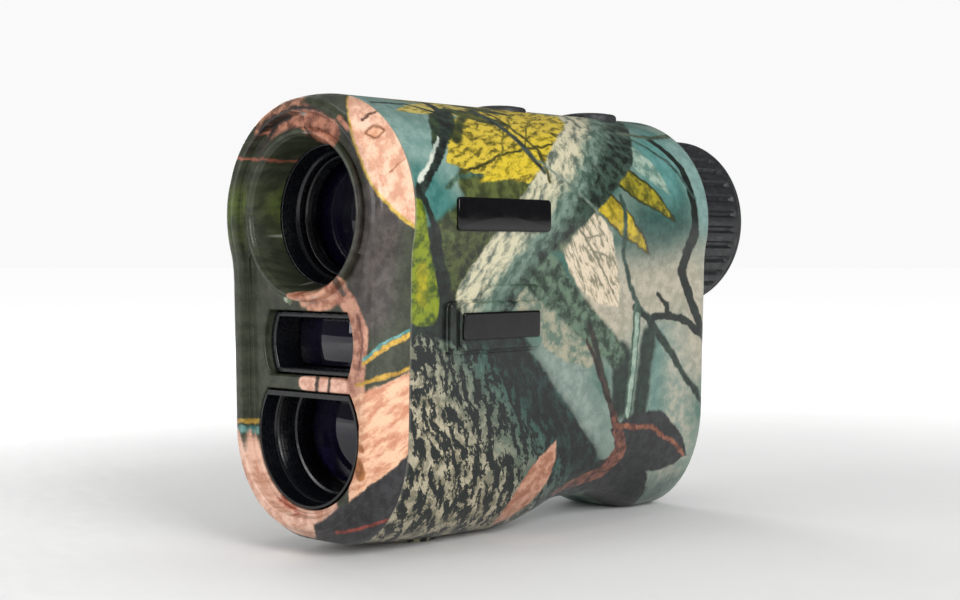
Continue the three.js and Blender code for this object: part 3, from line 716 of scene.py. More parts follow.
def leaf_distance(n, place, start, rate, side, bulge):
    """Distance to a pointed leaf, below 0 inside it."""
    offset = n.vector("SUBTRACT", place, start)
    share = n.vector("DOT_PRODUCT", offset, rate)
    across = n.math("ABSOLUTE", n.vector("DOT_PRODUCT", offset, side))
    profile = n.times(share, n.minus(1.0, share))
    return n.math("MULTIPLY_ADD", profile, bulge, across)


def brush_colour(n, under, dark, light, variation, distance, soft, amount):
    """The colour under the brush, or between dark and light where the distance is below 0."""
    share = n.step(distance, n.times(soft, -1.0), soft, amount, 0.0)
    return n.mix(under, n.mix(dark, light, variation), share)


SEGMENT = shared_group("segment", ["Vector"] * 4 + ["Float"] * 2, segment_distance)
LEAF = shared_group("leaf", ["Vector"] * 4 + ["Float"], leaf_distance)
BRUSH = shared_group("brush", ["Color"] * 3 + ["Float"] * 4, brush_colour)


class Print(Graph):
    """A camouflage print: shapes painted one over another in a flat plane laid round the casing.

    Every noise is made in lay_out, before the first shape, so that the renderer holds few values at once.
    """

    def lay_out(self, plane, warp, grains):
        """Sets the print's plane, with irregular outlines, and the noises that vary its colours.

        grains holds (direction, rate across it, rate along it) for each name.
        """
        coarse = self.vector("SUBTRACT", self.noise(0.13, 2.0, output=1), (0.5, 0.5, 0.5))
        fine = self.vector("SUBTRACT", self.noise(0.7, 3.0, output=1), (0.5, 0.5, 0.5))
        shift = self.vector("ADD", self.scaled(coarse, warp), self.scaled(fine, 0.9))
        base = self.vector("MULTIPLY", self.vector("ADD", plane, shift), (1, 1, 0))
        self.u, self.v, _ = self.split(base)
        self.ground = self.noise(0.055, 2.0, place=base)
        self.mottle = self.noise(0.45, 4.0, 0.62, base)
        self.grain = self.noise(1.5, 4.0, 0.7, base)
        self.grains = {name: self.streaks(base, *settings) for name, settings in grains.items()}
        self.speck = self.noise(5.5, 2.0, 0.6)
        self.gloss = self.noise(0.8, 3.0)
        ragged = self.math("MULTIPLY_ADD", self.grain, 0.6, -0.3)
        self.flat = self.vector("ADD", base, self.scaled((0.7, -0.7, 0), ragged))
        self.spread = self.step(self.mottle, 0.38, 0.62)
        self.colour = srgb("000000")

    def streaks(self, base, direction, across, along):
        """Noise drawn out along a direction."""
        d = Vector((*direction, 0)).normalized()
        over = self.times(self.vector("DOT_PRODUCT", base, (-d.y, d.x, 0)), across)
        ahead = self.times(self.vector("DOT_PRODUCT", base, tuple(d)), along)
        return self.noise(1.0, 3.5, 0.62, self.joined(over, ahead, 0.0))

    def stroke(self, points, first, last):
        """Distance to a tapered line through the points, below 0 inside it."""
        nearest, count = None, len(points) - 1
        for i in range(count):
            start, run = Vector((*points[i], 0)), Vector((*points[i + 1], 0)) - Vector((*points[i], 0))
            r0, change = first + (last - first) * i / count, (last - first) / count
            distance = self.group(SEGMENT, self.flat, start, run, run / run.length_squared, r0, change)
            nearest = distance if nearest is None else self.math("MINIMUM", nearest, distance)
        return nearest

    def leaf(self, tip, stalk, width):
        """Distance to a pointed leaf between two points, below 0 inside it."""
        start, run = Vector((*tip, 0)), Vector((*stalk, 0)) - Vector((*tip, 0))
        side = Vector((-run.y, run.x, 0)).normalized()
        return self.group(LEAF, self.flat, start, run / run.length_squared, side, -2 * width)

    def beside(self, start, end):
        """Distance across the line from start to end, above 0 on its left."""
        run = Vector((end[0] - start[0], end[1] - start[1], 0)).normalized()
        offset = self.vector("SUBTRACT", self.flat, (*start, 0))
        return self.vector("DOT_PRODUCT", offset, (-run.y, run.x, 0))

    def varied(self, dark, light, field=None, low=0.38, high=0.62):
        share = self.step(field, low, high) if field else self.spread
        return self.mix(dark, light, share)

    def paint(self, distance, dark, light=None, soft=0.25, amount=1.0, spread=None):
        """Puts a colour, varied between dark and light, wherever the distance is below 0."""
        dark, light = (srgb(c) if isinstance(c, str) else c for c in (dark, light or dark))
        spread = spread or self.spread
        self.colour = self.group(BRUSH, self.colour, dark, light, spread, distance, soft, amount)

    def strokes(self, table):
        for points, first, last, dark, light, soft in table:
            self.paint(self.stroke(points, first, last), dark, light, soft)

    def leaves(self, table):
        """Leaves from (tip, stalk, width, dark colour, light colour, name of a grain or None)."""
        for tip, stalk, width, dark, light, grain in table:
            spread = self.step(self.grains[grain], 0.36, 0.56) if grain else None
            self.paint(self.leaf(tip, stalk, width), dark, light, 0.3, spread=spread)


# ---- Materials: the camouflage print ----
# Strokes are (points, first radius, last radius, dark colour, light colour, softness), back to front.
# On the housing a point is (depth, height round the casing), and on the bezel (distance from the middle
# round the rim, height).
SHELL_GROUND = (
    ([(71, 52), (74, 53)], 11, 10, "2f544d", "3f665e", 8),
    ([(74, 66), (78, 70)], 7, 6, "5f8d88", "6f9a96", 5),
    ([(8, 70), (17, 66)], 7, 6, "7d9b94", "93aaa3", 4),
    ([(8, 81), (20, 77)], 5, 6, "748f88", "879f99", 4),
    ([(10, 60), (16, 54)], 3.5, 4, "447b76", "578a84", 2.5),
    ([(45, 26), (52, 18), (44, 35)], 6, 5, "83928a", "98a49c", 5),
    ([(56, 42), (58, 38)], 6, 5, "b3a995", "c6bba8", 5),
    ([(60, 41), (84, 44), (84, 30)], 7, 6, "a29f90", "b7b1a2", 5),
    ([(74, 28), (79, 12), (79, 3)], 8, 6, "8b998f", "b0aea0", 5),
    ([(72, 33), (72, 12)], 3, 3, "6b8880", "7d968e", 3),
    ([(84, 70), (86, 58)], 4, 4, "7e9793", "8ca5a0", 3),
    ([(81, 4), (76, 2)], 4, 3, "5d6b66", "76857e", 3),
    ([(61.5, 31), (61.5, 22)], 2.6, 2.4, "22322a", "30433a", 0.7),
    ([(69.8, 34), (67, 20)], 2.2, 2.2, "22332b", "33463c", 0.7),
)
SHELL_BACK_BRANCHES = (
    ([(33, 43), (43, 35), (52, 32)], 3.6, 3, "6d8072", "a8a592", 0.5),
    ([(37, 47), (46, 41), (60, 31)], 4.4, 2.4, "2f4335", "6f8371", 0.5),
    ([(43, 52), (46, 55)], 2.6, 2.2, "4d5a4b", "77806b", 0.6),
    ([(52, 37), (56, 28), (60, 19.5)], 0.6, 0.9, "2a332c", "4a4238", 0.25),
)
SHELL_UNDERGROWTH = (
    ([(8, 40), (20, 37.5), (29, 37)], 3.4, 2.6, "1c2724", "33423a", 0.7),
    ([(15, 50), (26, 58)], 5.2, 5, "3d4626", "69734a", 0.7),
    ([(17, 46), (25, 51)], 5.2, 4.6, "2e371f", "5d673c", 0.7),
    ([(21, 61), (33, 60)], 3.2, 2.6, "454d2a", "6b7444", 0.6),
    ([(11, 52), (14, 45), (15, 40)], 1.7, 2.2, "17221d", "2c3a31", 0.5),
    ([(23, 66), (26, 70)], 3.8, 3, "5c6a49", "8a9a72", 0.6),
)
TRUNK = [(23, 41.5), (35, 53), (47, 61.5), (60, 71), (70, 84)]
SHELL_TWIGS = (
    ([(33, 78), (36, 72), (40, 64)], 1.0, 0.6, "2c3830", "58635a", 0.3),
    ([(8, 59), (13, 64), (18, 69), (22, 74), (25, 86)], 1.1, 0.9, "18231d", "3d4a44", 0.25),
    ([(9, 61), (13, 65.2), (17, 69.6)], 0.45, 0.3, "a9b4ac", "cfd3c8", 0.2),
    ([(8.5, 59), (12.5, 52.5), (14, 46)], 0.6, 1.1, "18231d", "2e3b33", 0.25),
    ([(9, 79), (17, 79.5), (24, 76)], 0.35, 0.5, "2a3a30", "44574a", 0.3),
    ([(15, 60), (18, 62), (24, 62.5)], 0.5, 0.3, "3a5346", "5d7a68", 0.3),
    ([(77, 74), (82, 66), (82.7, 53)], 0.8, 1.2, "101c16", "24342c", 0.25),
    ([(82.7, 53), (79.5, 46), (88, 33)], 1.5, 1.0, "101c16", "24342c", 0.25),
    ([(60, 60), (61.5, 50), (65, 41), (69, 38)], 0.55, 0.6, "33493f", "4b6258", 0.3),
    ([(65, 39.5), (70, 37.5), (76, 38.2), (82, 36.5), (88, 33)], 0.6, 0.9, "121e18", "26362d", 0.22),
    ([(75.5, 38), (75, 40.3), (72, 42.2)], 0.7, 0.35, "121e18", "26362d", 0.22),
    ([(70, 37), (77, 30.5), (88, 20)], 1.0, 0.6, "203026", "3a4d42", 0.3),
    ([(66, 39), (64.8, 28), (63.3, 19)], 1.2, 1.0, "3c5448", "5b7264", 0.25),
    ([(66, 38), (65, 28), (63.5, 20)], 0.65, 0.55, "84998b", "a4b3a6", 0.2),
    ([(70, 74), (78, 68), (83, 60)], 0.45, 0.35, "3d534d", "566c66", 0.25),
    ([(69, 75), (78, 74), (88, 76)], 0.5, 0.7, "4e5a4c", "6d7867", 0.3),
    ([(36, 79), (38, 73), (41, 68), (41, 62)], 0.45, 0.35, "4d4a20", "6d6a38", 0.25),
    ([(40, 66), (53, 57), (58, 53)], 0.3, 0.25, "6a7a70", "8a968a", 0.3),
)
SHELL_RED = (
    ([(51.5, 34), (56, 27), (60, 19.5)], 0.4, 0.8, "2a2622", "54443c", 0.25),
    ([(59.5, 20.5), (62.3, 15), (62.6, 12.5)], 0.8, 2.0, "4a2f27", "8f6455", 0.25),
    ([(62.6, 13), (60.5, 9), (50, 6.2)], 2.2, 1.3, "54362c", "9a6c5c", 0.3),
    ([(61, 18.5), (71, 17.4), (79, 14), (83.5, 11)], 0.5, 0.35, "6a4334", "a2715a", 0.25),
)
CREAM_LEAF_VEINS = (
    ([(44, 57), (52, 51), (59, 42.5)], 0.25, 0.2, "6e6d5b", "8d8a76", 0.2),
    ([(50, 52.5), (55, 53)], 0.2, 0.15, "7b7866", "96927e", 0.2),
    ([(52, 50.5), (57.5, 48.5)], 0.2, 0.15, "7b7866", "96927e", 0.2),
)
LIME_LEAF = (
    ([(7.5, 59), (8.5, 52), (9.6, 46), (9.8, 41.5)], 0.8, 3.7, "4d6119", "8f9b1d", 0.3),
    ([(9.2, 42), (9.6, 47)], 1.2, 1.0, "8a8c14", "b5ac22", 0.8),
)
YELLOW_LEAVES = (
    ((14, 83), (60, 89), 9, "5f5c26", "a8983f", "vein"),
    ((12, 76), (44, 84), 6, "8f8440", "c6b872", "vein"),
    ((16, 64.5), (62, 80), 19, "736a22", "cfbb4c", "vein"),
    ((23, 61), (54, 73), 5.5, "96891f", "d2be42", "vein"),
    ((14, 66), (27, 80), 5, "1f2f24", "46583c", None),
    ((24, 79), (38, 74.5), 3.6, "2c3a26", "596332", None),
    ((29, 84), (43, 78.5), 3.4, "2f3c26", "5f6834", None),
    ((47, 73), (76.5, 55.5), 5.2, "2c2e0c", "3f4116", None),
    ((48, 72.4), (75.6, 56), 4.2, "5f5f1e", "a49a2c", None),
    ((40, 68), (69.5, 49.5), 5.4, "3d360e", "564d18", None),
    ((41, 67.4), (68.6, 50), 4.5, "8a7e1c", "c4b03a", None),
    ((62, 75), (75, 61), 6, "6d8a80", "a5b5a8", None),
)
YELLOW_VEINS = (
    ([(19, 62.5), (30, 66.5), (40, 68.8), (53, 70.5)], 0.3, 0.25, "45430f", "5f5c22", 0.2),
    ([(30, 66.5), (34, 72), (39, 75.5)], 0.2, 0.15, "6b6620", "7d782c", 0.2),
    ([(37, 68), (43, 75), (50, 79)], 0.2, 0.15, "6b6620", "7d782c", 0.2),
    ([(21, 69), (27, 75.5), (36, 81), (46, 84)], 0.9, 0.5, "3c4420", "5f6430", 0.4),
    ([(29, 77), (36, 75)], 0.9, 0.4, "5a5c2a", "757636", 0.5),
)
CHARCOAL_LEAVES = (
    ((59, 18), (84.5, 11), 11, "2f3031", "414244", None),
    ((58, 12), (80, -3), 12, "2b2c2d", "3b3c3e", None),
)
SHELL_GRAINS = {
    "vein": ((0.85, 0.35), 1.0, 0.35),
    "cream": ((0.62, -0.78), 1.1, 0.3),
    "bark": ((0.45, -0.89), 0.62, 0.26),
    "scale": ((0.72, 0.69), 0.7, 0.3),
}


def camo_colours(g):
    """Paints the housing's print: pale ground, leaves, a leaning trunk, bark, twigs and red stems."""
    ground = g.mix("456f65", "8b9a90", g.step(g.ground, 0.42, 0.58))
    g.colour = g.mix(ground, "9aa79c", g.step(g.mottle, 0.5, 0.8, 0.0, 0.35))
    g.strokes(SHELL_GROUND)
    g.leaves([((43, 59), (60.5, 40), 13, "8b8773", "d3c7b3", "cream")])
    g.strokes(CREAM_LEAF_VEINS)
    g.strokes(SHELL_BACK_BRANCHES)
    paint_bark(g)
    g.strokes(SHELL_UNDERGROWTH)
    g.strokes(LIME_LEAF)
    g.leaves(YELLOW_LEAVES)
    g.strokes(YELLOW_VEINS)
    paint_trunk(g)
    g.strokes(SHELL_TWIGS)
    g.leaves(CHARCOAL_LEAVES)
    g.strokes(SHELL_RED)
    g.leaves([((43.5, 17), (36, 1.5), 7, "a97a63", "cba38e", None)])


def paint_bark(g):
    """Rough bark: dark strokes on a pale base that turns teal, with a dark band along its edge."""
    edge = g.beside((58, 12), (29, 39))
    outside = g.larger(g.times(edge, -1.0), g.minus(g.v, 38.0))
    outside = g.larger(outside, g.minus(g.u, 61.0))
    pale = g.varied("8b8672", "bdb5a0", g.mottle, 0.4, 0.6)
    broken = g.math("MULTIPLY_ADD", g.grain, 0.35, g.grains["bark"])
    base = g.mix("1b2825", g.mix("3f615a", pale, g.step(edge, 6, 24)), g.step(broken, 0.655, 0.715))
    base = g.mix(base, "6f8a80", g.step(broken, 0.80, 0.90, 0.0, 0.6))
    g.paint(outside, base, soft=0.4)
    band = g.larger(outside, g.minus(edge, 7.0))
    g.paint(band, "141f1d", "2d4642", 2.2, 0.96, g.step(broken, 0.6, 0.85))


def paint_trunk(g):
    """The leaning trunk: pale scaly bark, dark along its lower edge."""
    distance = g.stroke(TRUNK, 5.6, 8.2)
    across = g.beside(TRUNK[0], TRUNK[-1])
    scales = g.grains["scale"]
    pale = g.varied("8d9182", "cbc6ae", scales, 0.38, 0.58)
    pale = g.mix(pale, "56645a", g.step(scales, 0.34, 0.42, 0.7, 0.0))
    wave = g.math("MULTIPLY_ADD", g.mottle, 6.0, g.minus(across, 3.0))
    shade = g.mix(g.varied("1c2a21", "4c6054"), g.varied("566d61", "84968a", scales), g.step(wave, -6, -2))
    g.paint(distance, g.mix(shade, pale, g.step(wave, -1.5, 1.5)), soft=0.3)


BEZEL_STROKES = (
    ([(-21, 50), (-18, 58)], 2.5, 2.5, "465033", "66743f", 2.5),
    ([(-9, 52), (-12, 59)], 3, 2, "3a412e", "4b5537", 2.0),
    ([(17, 42), (20, 60)], 5, 5, "443d3a", "5d5551", 2.0),
    ([(8, 44), (15, 62), (12, 69)], 1.2, 1.5, "2f2f2a", "4a4640", 0.8),
    ([(-10, 69.5), (-5, 71.6), (1, 71.8), (7.5, 68.6)], 0.9, 2.5, "7d5040", "c58d74", 0.4),
    ([(-11, 72), (-5, 74.4), (0, 75)], 1.4, 1.7, "6e5344", "b98b74", 0.5),
    ([(-13, 66.5), (-8, 71), (-1, 73.2), (4, 72.8)], 0.45, 0.35, "2a2522", "443a34", 0.3),
    ([(-2, 72.5), (1, 70.5), (3.5, 68)], 0.3, 0.25, "3c2b24", "5b4237", 0.2),
    ([(-16, 66), (-12, 65), (-6, 65.4)], 0.22, 0.18, "8d5a4a", "a86e5c", 0.2),
    ([(-8, 48), (-4, 46.2), (0, 45)], 1.0, 0.8, "5c4c42", "8a7468", 0.5),
    ([(-2.6, 42.2), (5, 41.8), (9.5, 43.5)], 1.2, 2.2, "a56e57", "d9aa90", 0.35),
    ([(9, 44), (12.5, 41), (14.8, 37), (13.6, 31), (13.5, 26)], 1.5, 2.5, "a26d58", "d3a28b", 0.35),
    ([(9, 45), (10.8, 43)], 0.7, 0.5, "4c3a30", "6b5244", 0.3),
    ([(14.2, 40), (15.6, 36), (14.4, 31)], 0.3, 0.25, "7a4f40", "946453", 0.2),
    ([(-2.5, 28.4), (10, 28.4)], 1.3, 1.6, "d6a58f", "efc6b2", 0.3),
    ([(4.2, 27.2), (4.6, 29.8)], 0.5, 0.5, "3b2f28", "5c483c", 0.3),
    ([(7.3, 27.2), (7.6, 29.8)], 0.4, 0.4, "3b2f28", "5c483c", 0.3),
    ([(-18, 20.4), (-9, 22.6)], 0.45, 0.3, "a5873c", "cbb260", 0.2),
    ([(-18, 19.2), (-9, 20.6)], 0.7, 0.6, "46706b", "77a09a", 0.3),
    ([(-18, 17), (-14.8, 11), (-9, 6.5), (0, 4.6), (8, 6.8)], 3.6, 2.6, "cf9f88", "efcab6", 0.4),
    ([(-12, 13), (-8, 8.6), (-2, 6.8)], 0.22, 0.18, "a8604e", "c07a66", 0.2),
    ([(-6.9, 42.2), (-6.1, 41.8)], 0.6, 0.6, "6d7a5e", "c3cbb4", 0.25),
)
BEZEL_FRONT_STROKES = (
    ([(14.8, 15), (14.2, 16.6)], 1.2, 0.9, "8f5c34", "b57b4c", 0.3),
    ([(13.5, 19.5), (15.2, 19)], 0.9, 0.6, "a3683f", "c08a5c", 0.3),
    ([(14, 28.6), (19, 29.8), (26, 31.6)], 0.35, 0.3, "a8842c", "d3ad4f", 0.2),
    ([(15.5, 32.4), (20, 34.6), (26, 36.8)], 0.35, 0.45, "b08a30", "dcb757", 0.2),
    ([(15.5, 33.0), (20, 35.3), (26, 37.6)], 0.25, 0.25, "4f8a86", "7db0ab", 0.2),
    ([(9, 4.4), (25, 7.6)], 0.3, 0.3, "7c3b31", "a65649", 0.2),
    ([(15, 70.5), (18.8, 72.8)], 0.3, 0.15, "4c2f20", "6b4630", 0.2),
    ([(21.5, 62), (25, 64.5)], 0.2, 0.1, "a5745a", "bf8f74", 0.2),
    ([(10, 71), (12, 69)], 0.5, 0.4, "8a5b48", "b98267", 0.3),
)
BEZEL_GRAINS = {"peach": ((0.9, 0.4), 0.7, 0.2)}


def bezel_colours(g):
    """Paints the bezel's print: dark green ground, peach leaves and stems, and a charcoal leaf below."""
    g.colour = g.varied("363b2c", "4b4f3f", g.mottle, 0.35, 0.65)
    g.strokes(BEZEL_STROKES)
    above, below = g.beside((26, 31), (14, 27)), g.beside((0, 3.4), (25, 17.5))
    wedge = g.larger(g.times(above, -1.0), g.times(below, -1.0))
    wedge = g.larger(wedge, g.minus(12.0, g.u))
    g.paint(wedge, "c98f72", "ecc2a4", 0.3, spread=g.step(g.grains["peach"], 0.36, 0.6))
    g.paint(g.larger(below, g.minus(4.0, g.u)), "323133", "444346", 0.3)
    g.leaves([((11.3, 78.5), (29, 52.5), 11, "a88a34", "d1b45a", None)])
    g.leaves([((11.6, 78), (28.6, 53.4), 10.1, "cf9f86", "ebc5ad", None)])
    g.strokes(BEZEL_FRONT_STROKES)
    g.leaves([((15.6, 68.3), (20.4, 69.2), 2.4, "7d4f33", "9c6a49", None)])
    g.leaves([((16.1, 68.4), (19.8, 69.0), 1.5, "d29c7c", "e6bb9e", None)])


FAR_SIDE_SHIFT = (12.0, -5.0)
LOWER_CORNER_R = 17.3


def shell_plane(g):
    """Depth and height round the casing.

    The far side has the same print, moved along and down, and the rear face has the side's print turned
    in over the edge.
    """
    x, y, z = g.split(g.place)
    side = g.math("ABSOLUTE", x)
    over = g.math("ARCTAN2", g.larger(g.minus(z, SIGHT_Z), 0.0), side)
    under = g.math("ARCTAN2", g.larger(g.minus(SIDE_END_Z, z), 0.0), side)
    height = g.math("MINIMUM", g.larger(z, SIDE_END_Z), SIGHT_Z)
    height = g.math("MULTIPLY_ADD", over, BODY["top"], height)
    height = g.math("MULTIPLY_ADD", under, -LOWER_CORNER_R, height)
    depth = g.minus(y, FRONT_Y / MM)
    crest = SIGHT_Z + BODY["top"] * math.pi / 2
    away = g.times(g.step(height, crest, crest - 27), g.math("LESS_THAN", x, 0.0))
    moved = (g.math("MULTIPLY_ADD", away, by, at) for by, at in zip(FAR_SIDE_SHIFT, (depth, height)))
    wrapped = g.joined(*moved, 0.0)
    turned_in = g.joined(g.math("ADD", g.minus(depth, BODY["waist"]), x), z, 0.0)
    on_rear = g.step(depth, HOUSING_BACK - 1.3, HOUSING_BACK - 1.2)
    return g.vector("ADD", wrapped, g.scaled(g.vector("SUBTRACT", turned_in, wrapped), on_rear))


def bezel_plane(g):
    x, y, z = g.split(g.place)
    depth = g.larger(g.minus(y, FRONT_Y / MM), 0.0)
    across = g.math("MULTIPLY_ADD", g.math("SIGN", x), g.math("MINIMUM", depth, 8.0), x)
    return g.joined(across, z, 0.0)


def camo(name, plane, warp, grains, colours, depth):
    """A satin film over moulded plastic: the print, a fine printed grain, a faint leathery texture and a
    painted highlight along sharp edges.
    """
    g = Print(name, coat_weight=0.3, coat_roughness=0.12, specular_ior_level=0.25)
    g.lay_out(plane(g), warp, grains)
    colours(g)
    colour = g.mix(g.node("Gamma", g.colour, depth), "000000", g.step(g.speck, 0.54, 0.72, 0.0, 0.32))
    colour = g.mix(colour, "c9cec4", g.step(g.speck, 0.30, 0.44, 0.04, 0.0))
    # Painted highlight: a light grey mix on sharp edges, where the crests would catch the light.
    edges = g.step(g.node("NewGeometry", output="Pointiness"), 0.54, 0.61, 0.0, 0.6)
    colour = g.mix(colour, "b4b4aa", edges)
    return g.finish(colour, g.step(g.gloss, 0.3, 0.7, 0.38, 0.5), g.speck, 0.035)


def renamed_copy(material, name):
    copy = material.copy()
    copy.name = name
    return copy


# ---- Materials: everything else ----
def speckled(name, dark, light, roughness, scale, bump=0.02, specular=0.5):
    """A material whose colour, gloss and surface vary finely at one scale."""
    g = Graph(name, specular_ior_level=specular)
    field = g.noise(scale, 4.0, 0.6)
    fine = g.noise(scale * 5, 2.0)
    colour = g.mix(dark, light, g.step(field, 0.35, 0.65))
    gloss = g.step(g.noise(scale * 0.4, 3.0), 0.35, 0.65, *roughness)
    return g.finish(colour, gloss, fine, bump)


def ringed(name, dark, light, pitch, roughness):
    """A turned part: faint rings round the axis, from the lathe or a moulded thread."""
    g = Graph(name)
    depth = g.split(g.place)[1]
    rings = g.math("SINE", g.times(depth, 2 * math.pi / pitch))
    uneven = g.math("MULTIPLY_ADD", g.noise(1.4, 3.0), 1.6, g.times(rings, 0.5))
    colour = g.mix(dark, light, g.step(uneven, 0.3, 1.3))
    return g.finish(colour, g.step(g.noise(0.9, 3.0), 0.35, 0.65, *roughness), uneven, 0.008)


def brushed(name, dark, light, roughness):
    g = Graph(name, metallic=1.0)
    lines = g.noise(1.0, 4.0, 0.6, g.vector("MULTIPLY", g.place, (6.0, 0.5, 6.0)))
    colour = g.mix(dark, light, g.step(lines, 0.35, 0.65))
    return g.finish(colour, g.step(lines, 0.3, 0.7, *roughness), lines, 0.01)


def glass(name, tint, clear):
    """Lens glass with a trace of dust. clear is the share of light that goes through."""
    g = Graph(name, transmission_weight=clear, ior=1.52)
    dust = g.step(g.noise(2.4, 5.0, 0.7), 0.62, 0.8)
    colour = g.mix(tint, "8d8d92", g.times(dust, 0.12))
    return g.finish(colour, g.math("MULTIPLY_ADD", dust, 0.08, 0.01))


def circuit_board(name):
    """Green solder mask over a grid of tracks, with plated pads."""
    g = Graph(name, coat_weight=0.4)
    tracks = g.node("TexBrick", g.vector("MULTIPLY", g.place, (0.9, 0.9, 0.9)), output="Fac")
    tracks.node.inputs["Mortar Size"].default_value = 0.06
    colour = g.mix("0d3a22", "1d6a3c", tracks)
    pads = g.step(g.noise(1.1, 1.0), 0.66, 0.69)
    return g.finish(g.mix(colour, "c9a856", pads), g.step(pads, 0, 1, 0.45, 0.25), tracks, 0.03)


SHELL_LOOK = camo("camo_shell", shell_plane, 2.2, SHELL_GRAINS, camo_colours, 1.3)
LOOKS = {
    "camo_shell": SHELL_LOOK,
    "camo_cover": renamed_copy(SHELL_LOOK, "camo_cover"),
    "camo_bezel": camo("camo_bezel", bezel_plane, 1.2, BEZEL_GRAINS, bezel_colours, 1.15),
}
for look_name, make_look, *look_values in (
    ("gloss_plate", speckled, "040406", "08080b", (0.08, 0.15), 0.8, 0.002, 0.35),
    ("button_rubber", speckled, "17181a", "2b2d30", (0.42, 0.6), 1.4, 0.03),
    ("grip_rubber", speckled, "0c0d0f", "1d1f22", (0.4, 0.6), 1.6, 0.03),
    ("battery_sleeve", speckled, "1c3f77", "2e5a9c", (0.3, 0.4), 0.6),
    ("seal_rubber", speckled, "101113", "1d1e20", (0.6, 0.75), 1.8),
    ("black_plastic", ringed, "08090c", "121419", 0.6, (0.2, 0.32)),
    ("coated_glass", glass, "231e42", 0.86),
    ("clear_glass", glass, "dfe6e4", 1.0),
    ("chassis_metal", brushed, "2a2c30", "4a4d52", (0.35, 0.55)),
    ("steel", brushed, "8b8d90", "c4c6c8", (0.2, 0.4)),
    ("brass", brushed, "8a6a2c", "c49c4a", (0.25, 0.4)),
    ("circuit_board", circuit_board),
):
    LOOKS[look_name] = make_look(look_name, *look_values)


# ---- Assembly ----
def dress(piece, look):
    """Gives a piece its finish."""
    piece.data.materials.clear()
    piece.data.materials.append(LOOKS[look])


def fit(piece, look, body="housing", nodes=()):
    """Puts a piece on its body in its finish, and lets it stand for its CAD nodes."""
    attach(piece, body)
    dress(piece, look)
    if nodes:
        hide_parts(*nodes)


fit(make_shell(), "camo_shell", nodes=["main_housing"])
fit(make_tripod_boss(), "camo_shell")
fit(make_port_seat(), "camo_shell")
fit(make_hinge_strip(), "camo_cover", nodes=["port_hinge_strip"])
fit(make_bezel(), "camo_bezel", nodes=["front_bezel"])
fit(make_hood(), "camo_bezel")
fit(make_rear_cover(), "camo_shell", nodes=["rear_cover"])
for node in SCREWS:
    fit(make_screw(node), "steel", nodes=[node])

fit(make_objective_cell(), "black_plastic", nodes=["objective_cell"])
fit(make_objective_ring(), "black_plastic", nodes=["objective_retaining_ring"])
fit(lens("objective_glass", "objective_lens", 10.1, 1.3, -0.7), "coated_glass", nodes=["objective_lens"])
fit(make_emitter_cell(), "black_plastic", nodes=["emitter_cell"])
fit(make_emitter_lens(), "coated_glass", nodes=["emitter_lens"])
fit(make_receiver_cell(), "black_plastic", nodes=["receiver_cell"])
receiver_glass = lens("receiver_glass", "receiver_lens", 8.5, 1.2, 0.2, RECEIVER_Z)
fit(receiver_glass, "coated_glass", nodes=["receiver_lens"])

fit(make_brand_plate(), "gloss_plate", nodes=["brand_plate"])
fit(make_model_plate(), "gloss_plate", "port_cover", ["model_plate"])
fit(make_port_flap(), "camo_cover", "port_cover", ["port_cover"])
fit(make_port_plug(), "seal_rubber", "port_cover")
for node in BUTTONS:
    fit(make_button(node), "button_rubber", node, [node])

fit(make_eyepiece_barrel(), "black_plastic", nodes=["eyepiece_barrel"])
fit(make_diopter_ring(), "grip_rubber", "diopter_ring", ["diopter_ring"])
fit(make_eyecup(), "grip_rubber", "diopter_ring", ["eyecup"])
fit(make_eye_lens_cell(), "black_plastic", "eye_lens_cell", ["eye_lens_cell"])
fit(lens("eye_glass", "eye_lens", 9.5, 1.1, 1.1), "coated_glass", "eye_lens_cell", ["eye_lens"])
fit(lens("field_glass", "field_lens", 9.5, 0.8, 0.5), "coated_glass", "eye_lens_cell", ["field_lens"])

INSIDE = {
    "seal_rubber": ["front_seal"],
    "circuit_board": ["laser_board", "receiver_board", "switch_board", "main_board", "charge_board"],
    "chassis_metal": ["bulkhead", "prism_cage", "battery_cradle"],
    "clear_glass": ["front_prism", "rear_prism", "reticle_display"],
    "battery_sleeve": ["battery_cell"],
    "steel": ["charge_socket", "detector", "power_switch", "mode_switch"],
    "brass": ["laser_diode", "tripod_insert"],
}
for look, members in INSIDE.items():
    for member in members:
        dress(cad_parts[member], look)


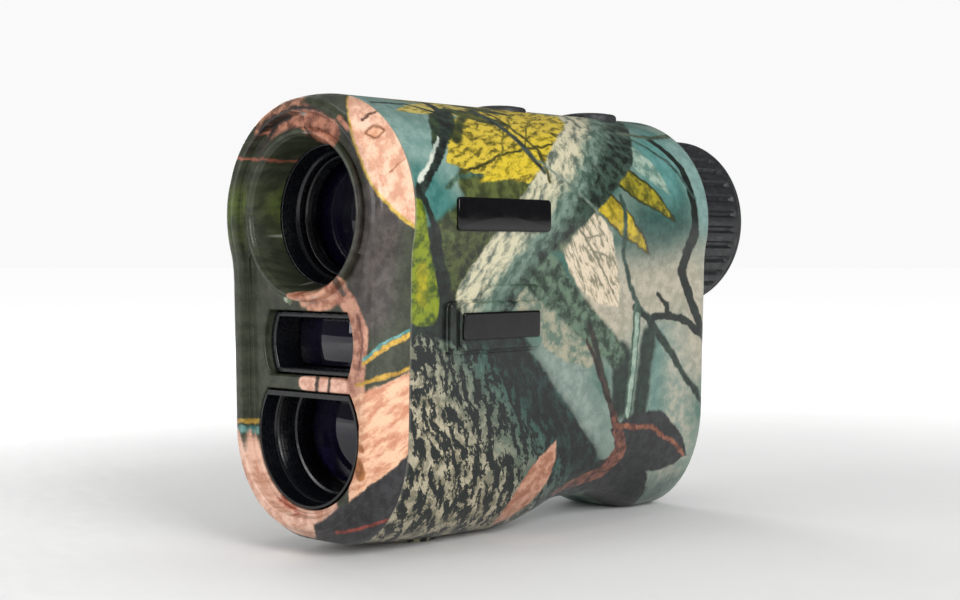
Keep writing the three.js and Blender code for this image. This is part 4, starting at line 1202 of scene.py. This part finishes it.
# ---- Studio ----
def make_floor():
    """A large pale floor, barely uneven, which lightens away from the object like a sweep, by a painted glow
    that grows with distance.
    """
    radius, below = 6000, -0.02
    angles = np.linspace(0, 2 * math.pi, 96, endpoint=False)
    verts = [(radius * math.cos(a), radius * math.sin(a), below) for a in angles]
    floor = add_object("floor", verts, [tuple(range(len(verts)))])
    g = Graph("floor_paper", emission_color=(1, 1, 1, 1))
    away = g.vector("LENGTH", g.vector("MULTIPLY", g.place, (1, 1, 0)))
    # Painted light: the floor glows, from nothing near the object to 0.66 far off, so it fades into the
    # white backdrop.
    g.feed(g.shader.inputs["Emission Strength"], g.step(away, 60, 420, 0.0, 0.66))
    colour = g.mix("dedede", "e6e6e5", g.noise(0.02, 3.0))
    floor.data.materials.append(g.finish(colour, g.step(g.noise(0.3, 2.0), 0.3, 0.7, 0.7, 0.85)))


def aim(name, data, place, target):
    """Puts a light or a camera in the scene, pointing at the target."""
    aimed = bpy.data.objects.new(name, data)
    aimed.location = place
    aimed.rotation_mode = "QUATERNION"
    aimed.rotation_quaternion = (Vector(target) - Vector(place)).to_track_quat("-Z", "Y")
    bpy.context.scene.collection.objects.link(aimed)
    return aimed


def add_light(name, place, size, watts):
    """A white soft box that points at the middle of the object."""
    data = bpy.data.lights.new(name, "AREA")
    data.shape, data.size, data.size_y = "RECTANGLE", *size
    data.energy = watts
    aim(name, data, place, target=(0, 0, 0.04))


def make_world():
    """White to the camera, softer as a light and dark in reflections, where only the soft boxes shine."""
    world = bpy.data.worlds.new("studio")
    world.use_nodes = True
    studio = Nodes(world.node_tree)
    glossy, seen = (studio.node("LightPath", output=f"Is {kind} Ray") for kind in ("Glossy", "Camera"))
    level = studio.step(glossy, 0, 1, 0.45, 0.15)
    level = studio.larger(level, studio.times(seen, 0.95))
    background = studio.tree.nodes["Background"]
    studio.feed(background.inputs["Strength"], level)
    background.inputs["Color"].default_value = (1, 1, 1, 1)
    bpy.context.scene.world = world


def make_studio():
    make_floor()
    make_world()
    bpy.context.scene.view_settings.view_transform = "Standard"
    add_light("key", (0.60, -0.12, 0.30), (0.4, 0.4), 3.8)
    add_light("front_fill", (-0.22, -0.62, 0.20), (0.3, 0.3), 1.3)
    add_light("top", (-0.05, 0.10, 0.65), (0.4, 0.3), 0.6)
    add_light("rear", (-0.60, 0.20, 0.25), (0.3, 0.3), 1.5)


def make_camera():
    data = bpy.data.cameras.new("camera")
    data.lens, data.sensor_width = 61.48, 36
    data.clip_start, data.clip_end = 0.01, 20
    place, target = (0.2028, -0.2274, 0.0493), (0, -0.00834, 0.04109)
    bpy.context.scene.camera = aim("camera", data, place, target)


make_studio()
make_camera()
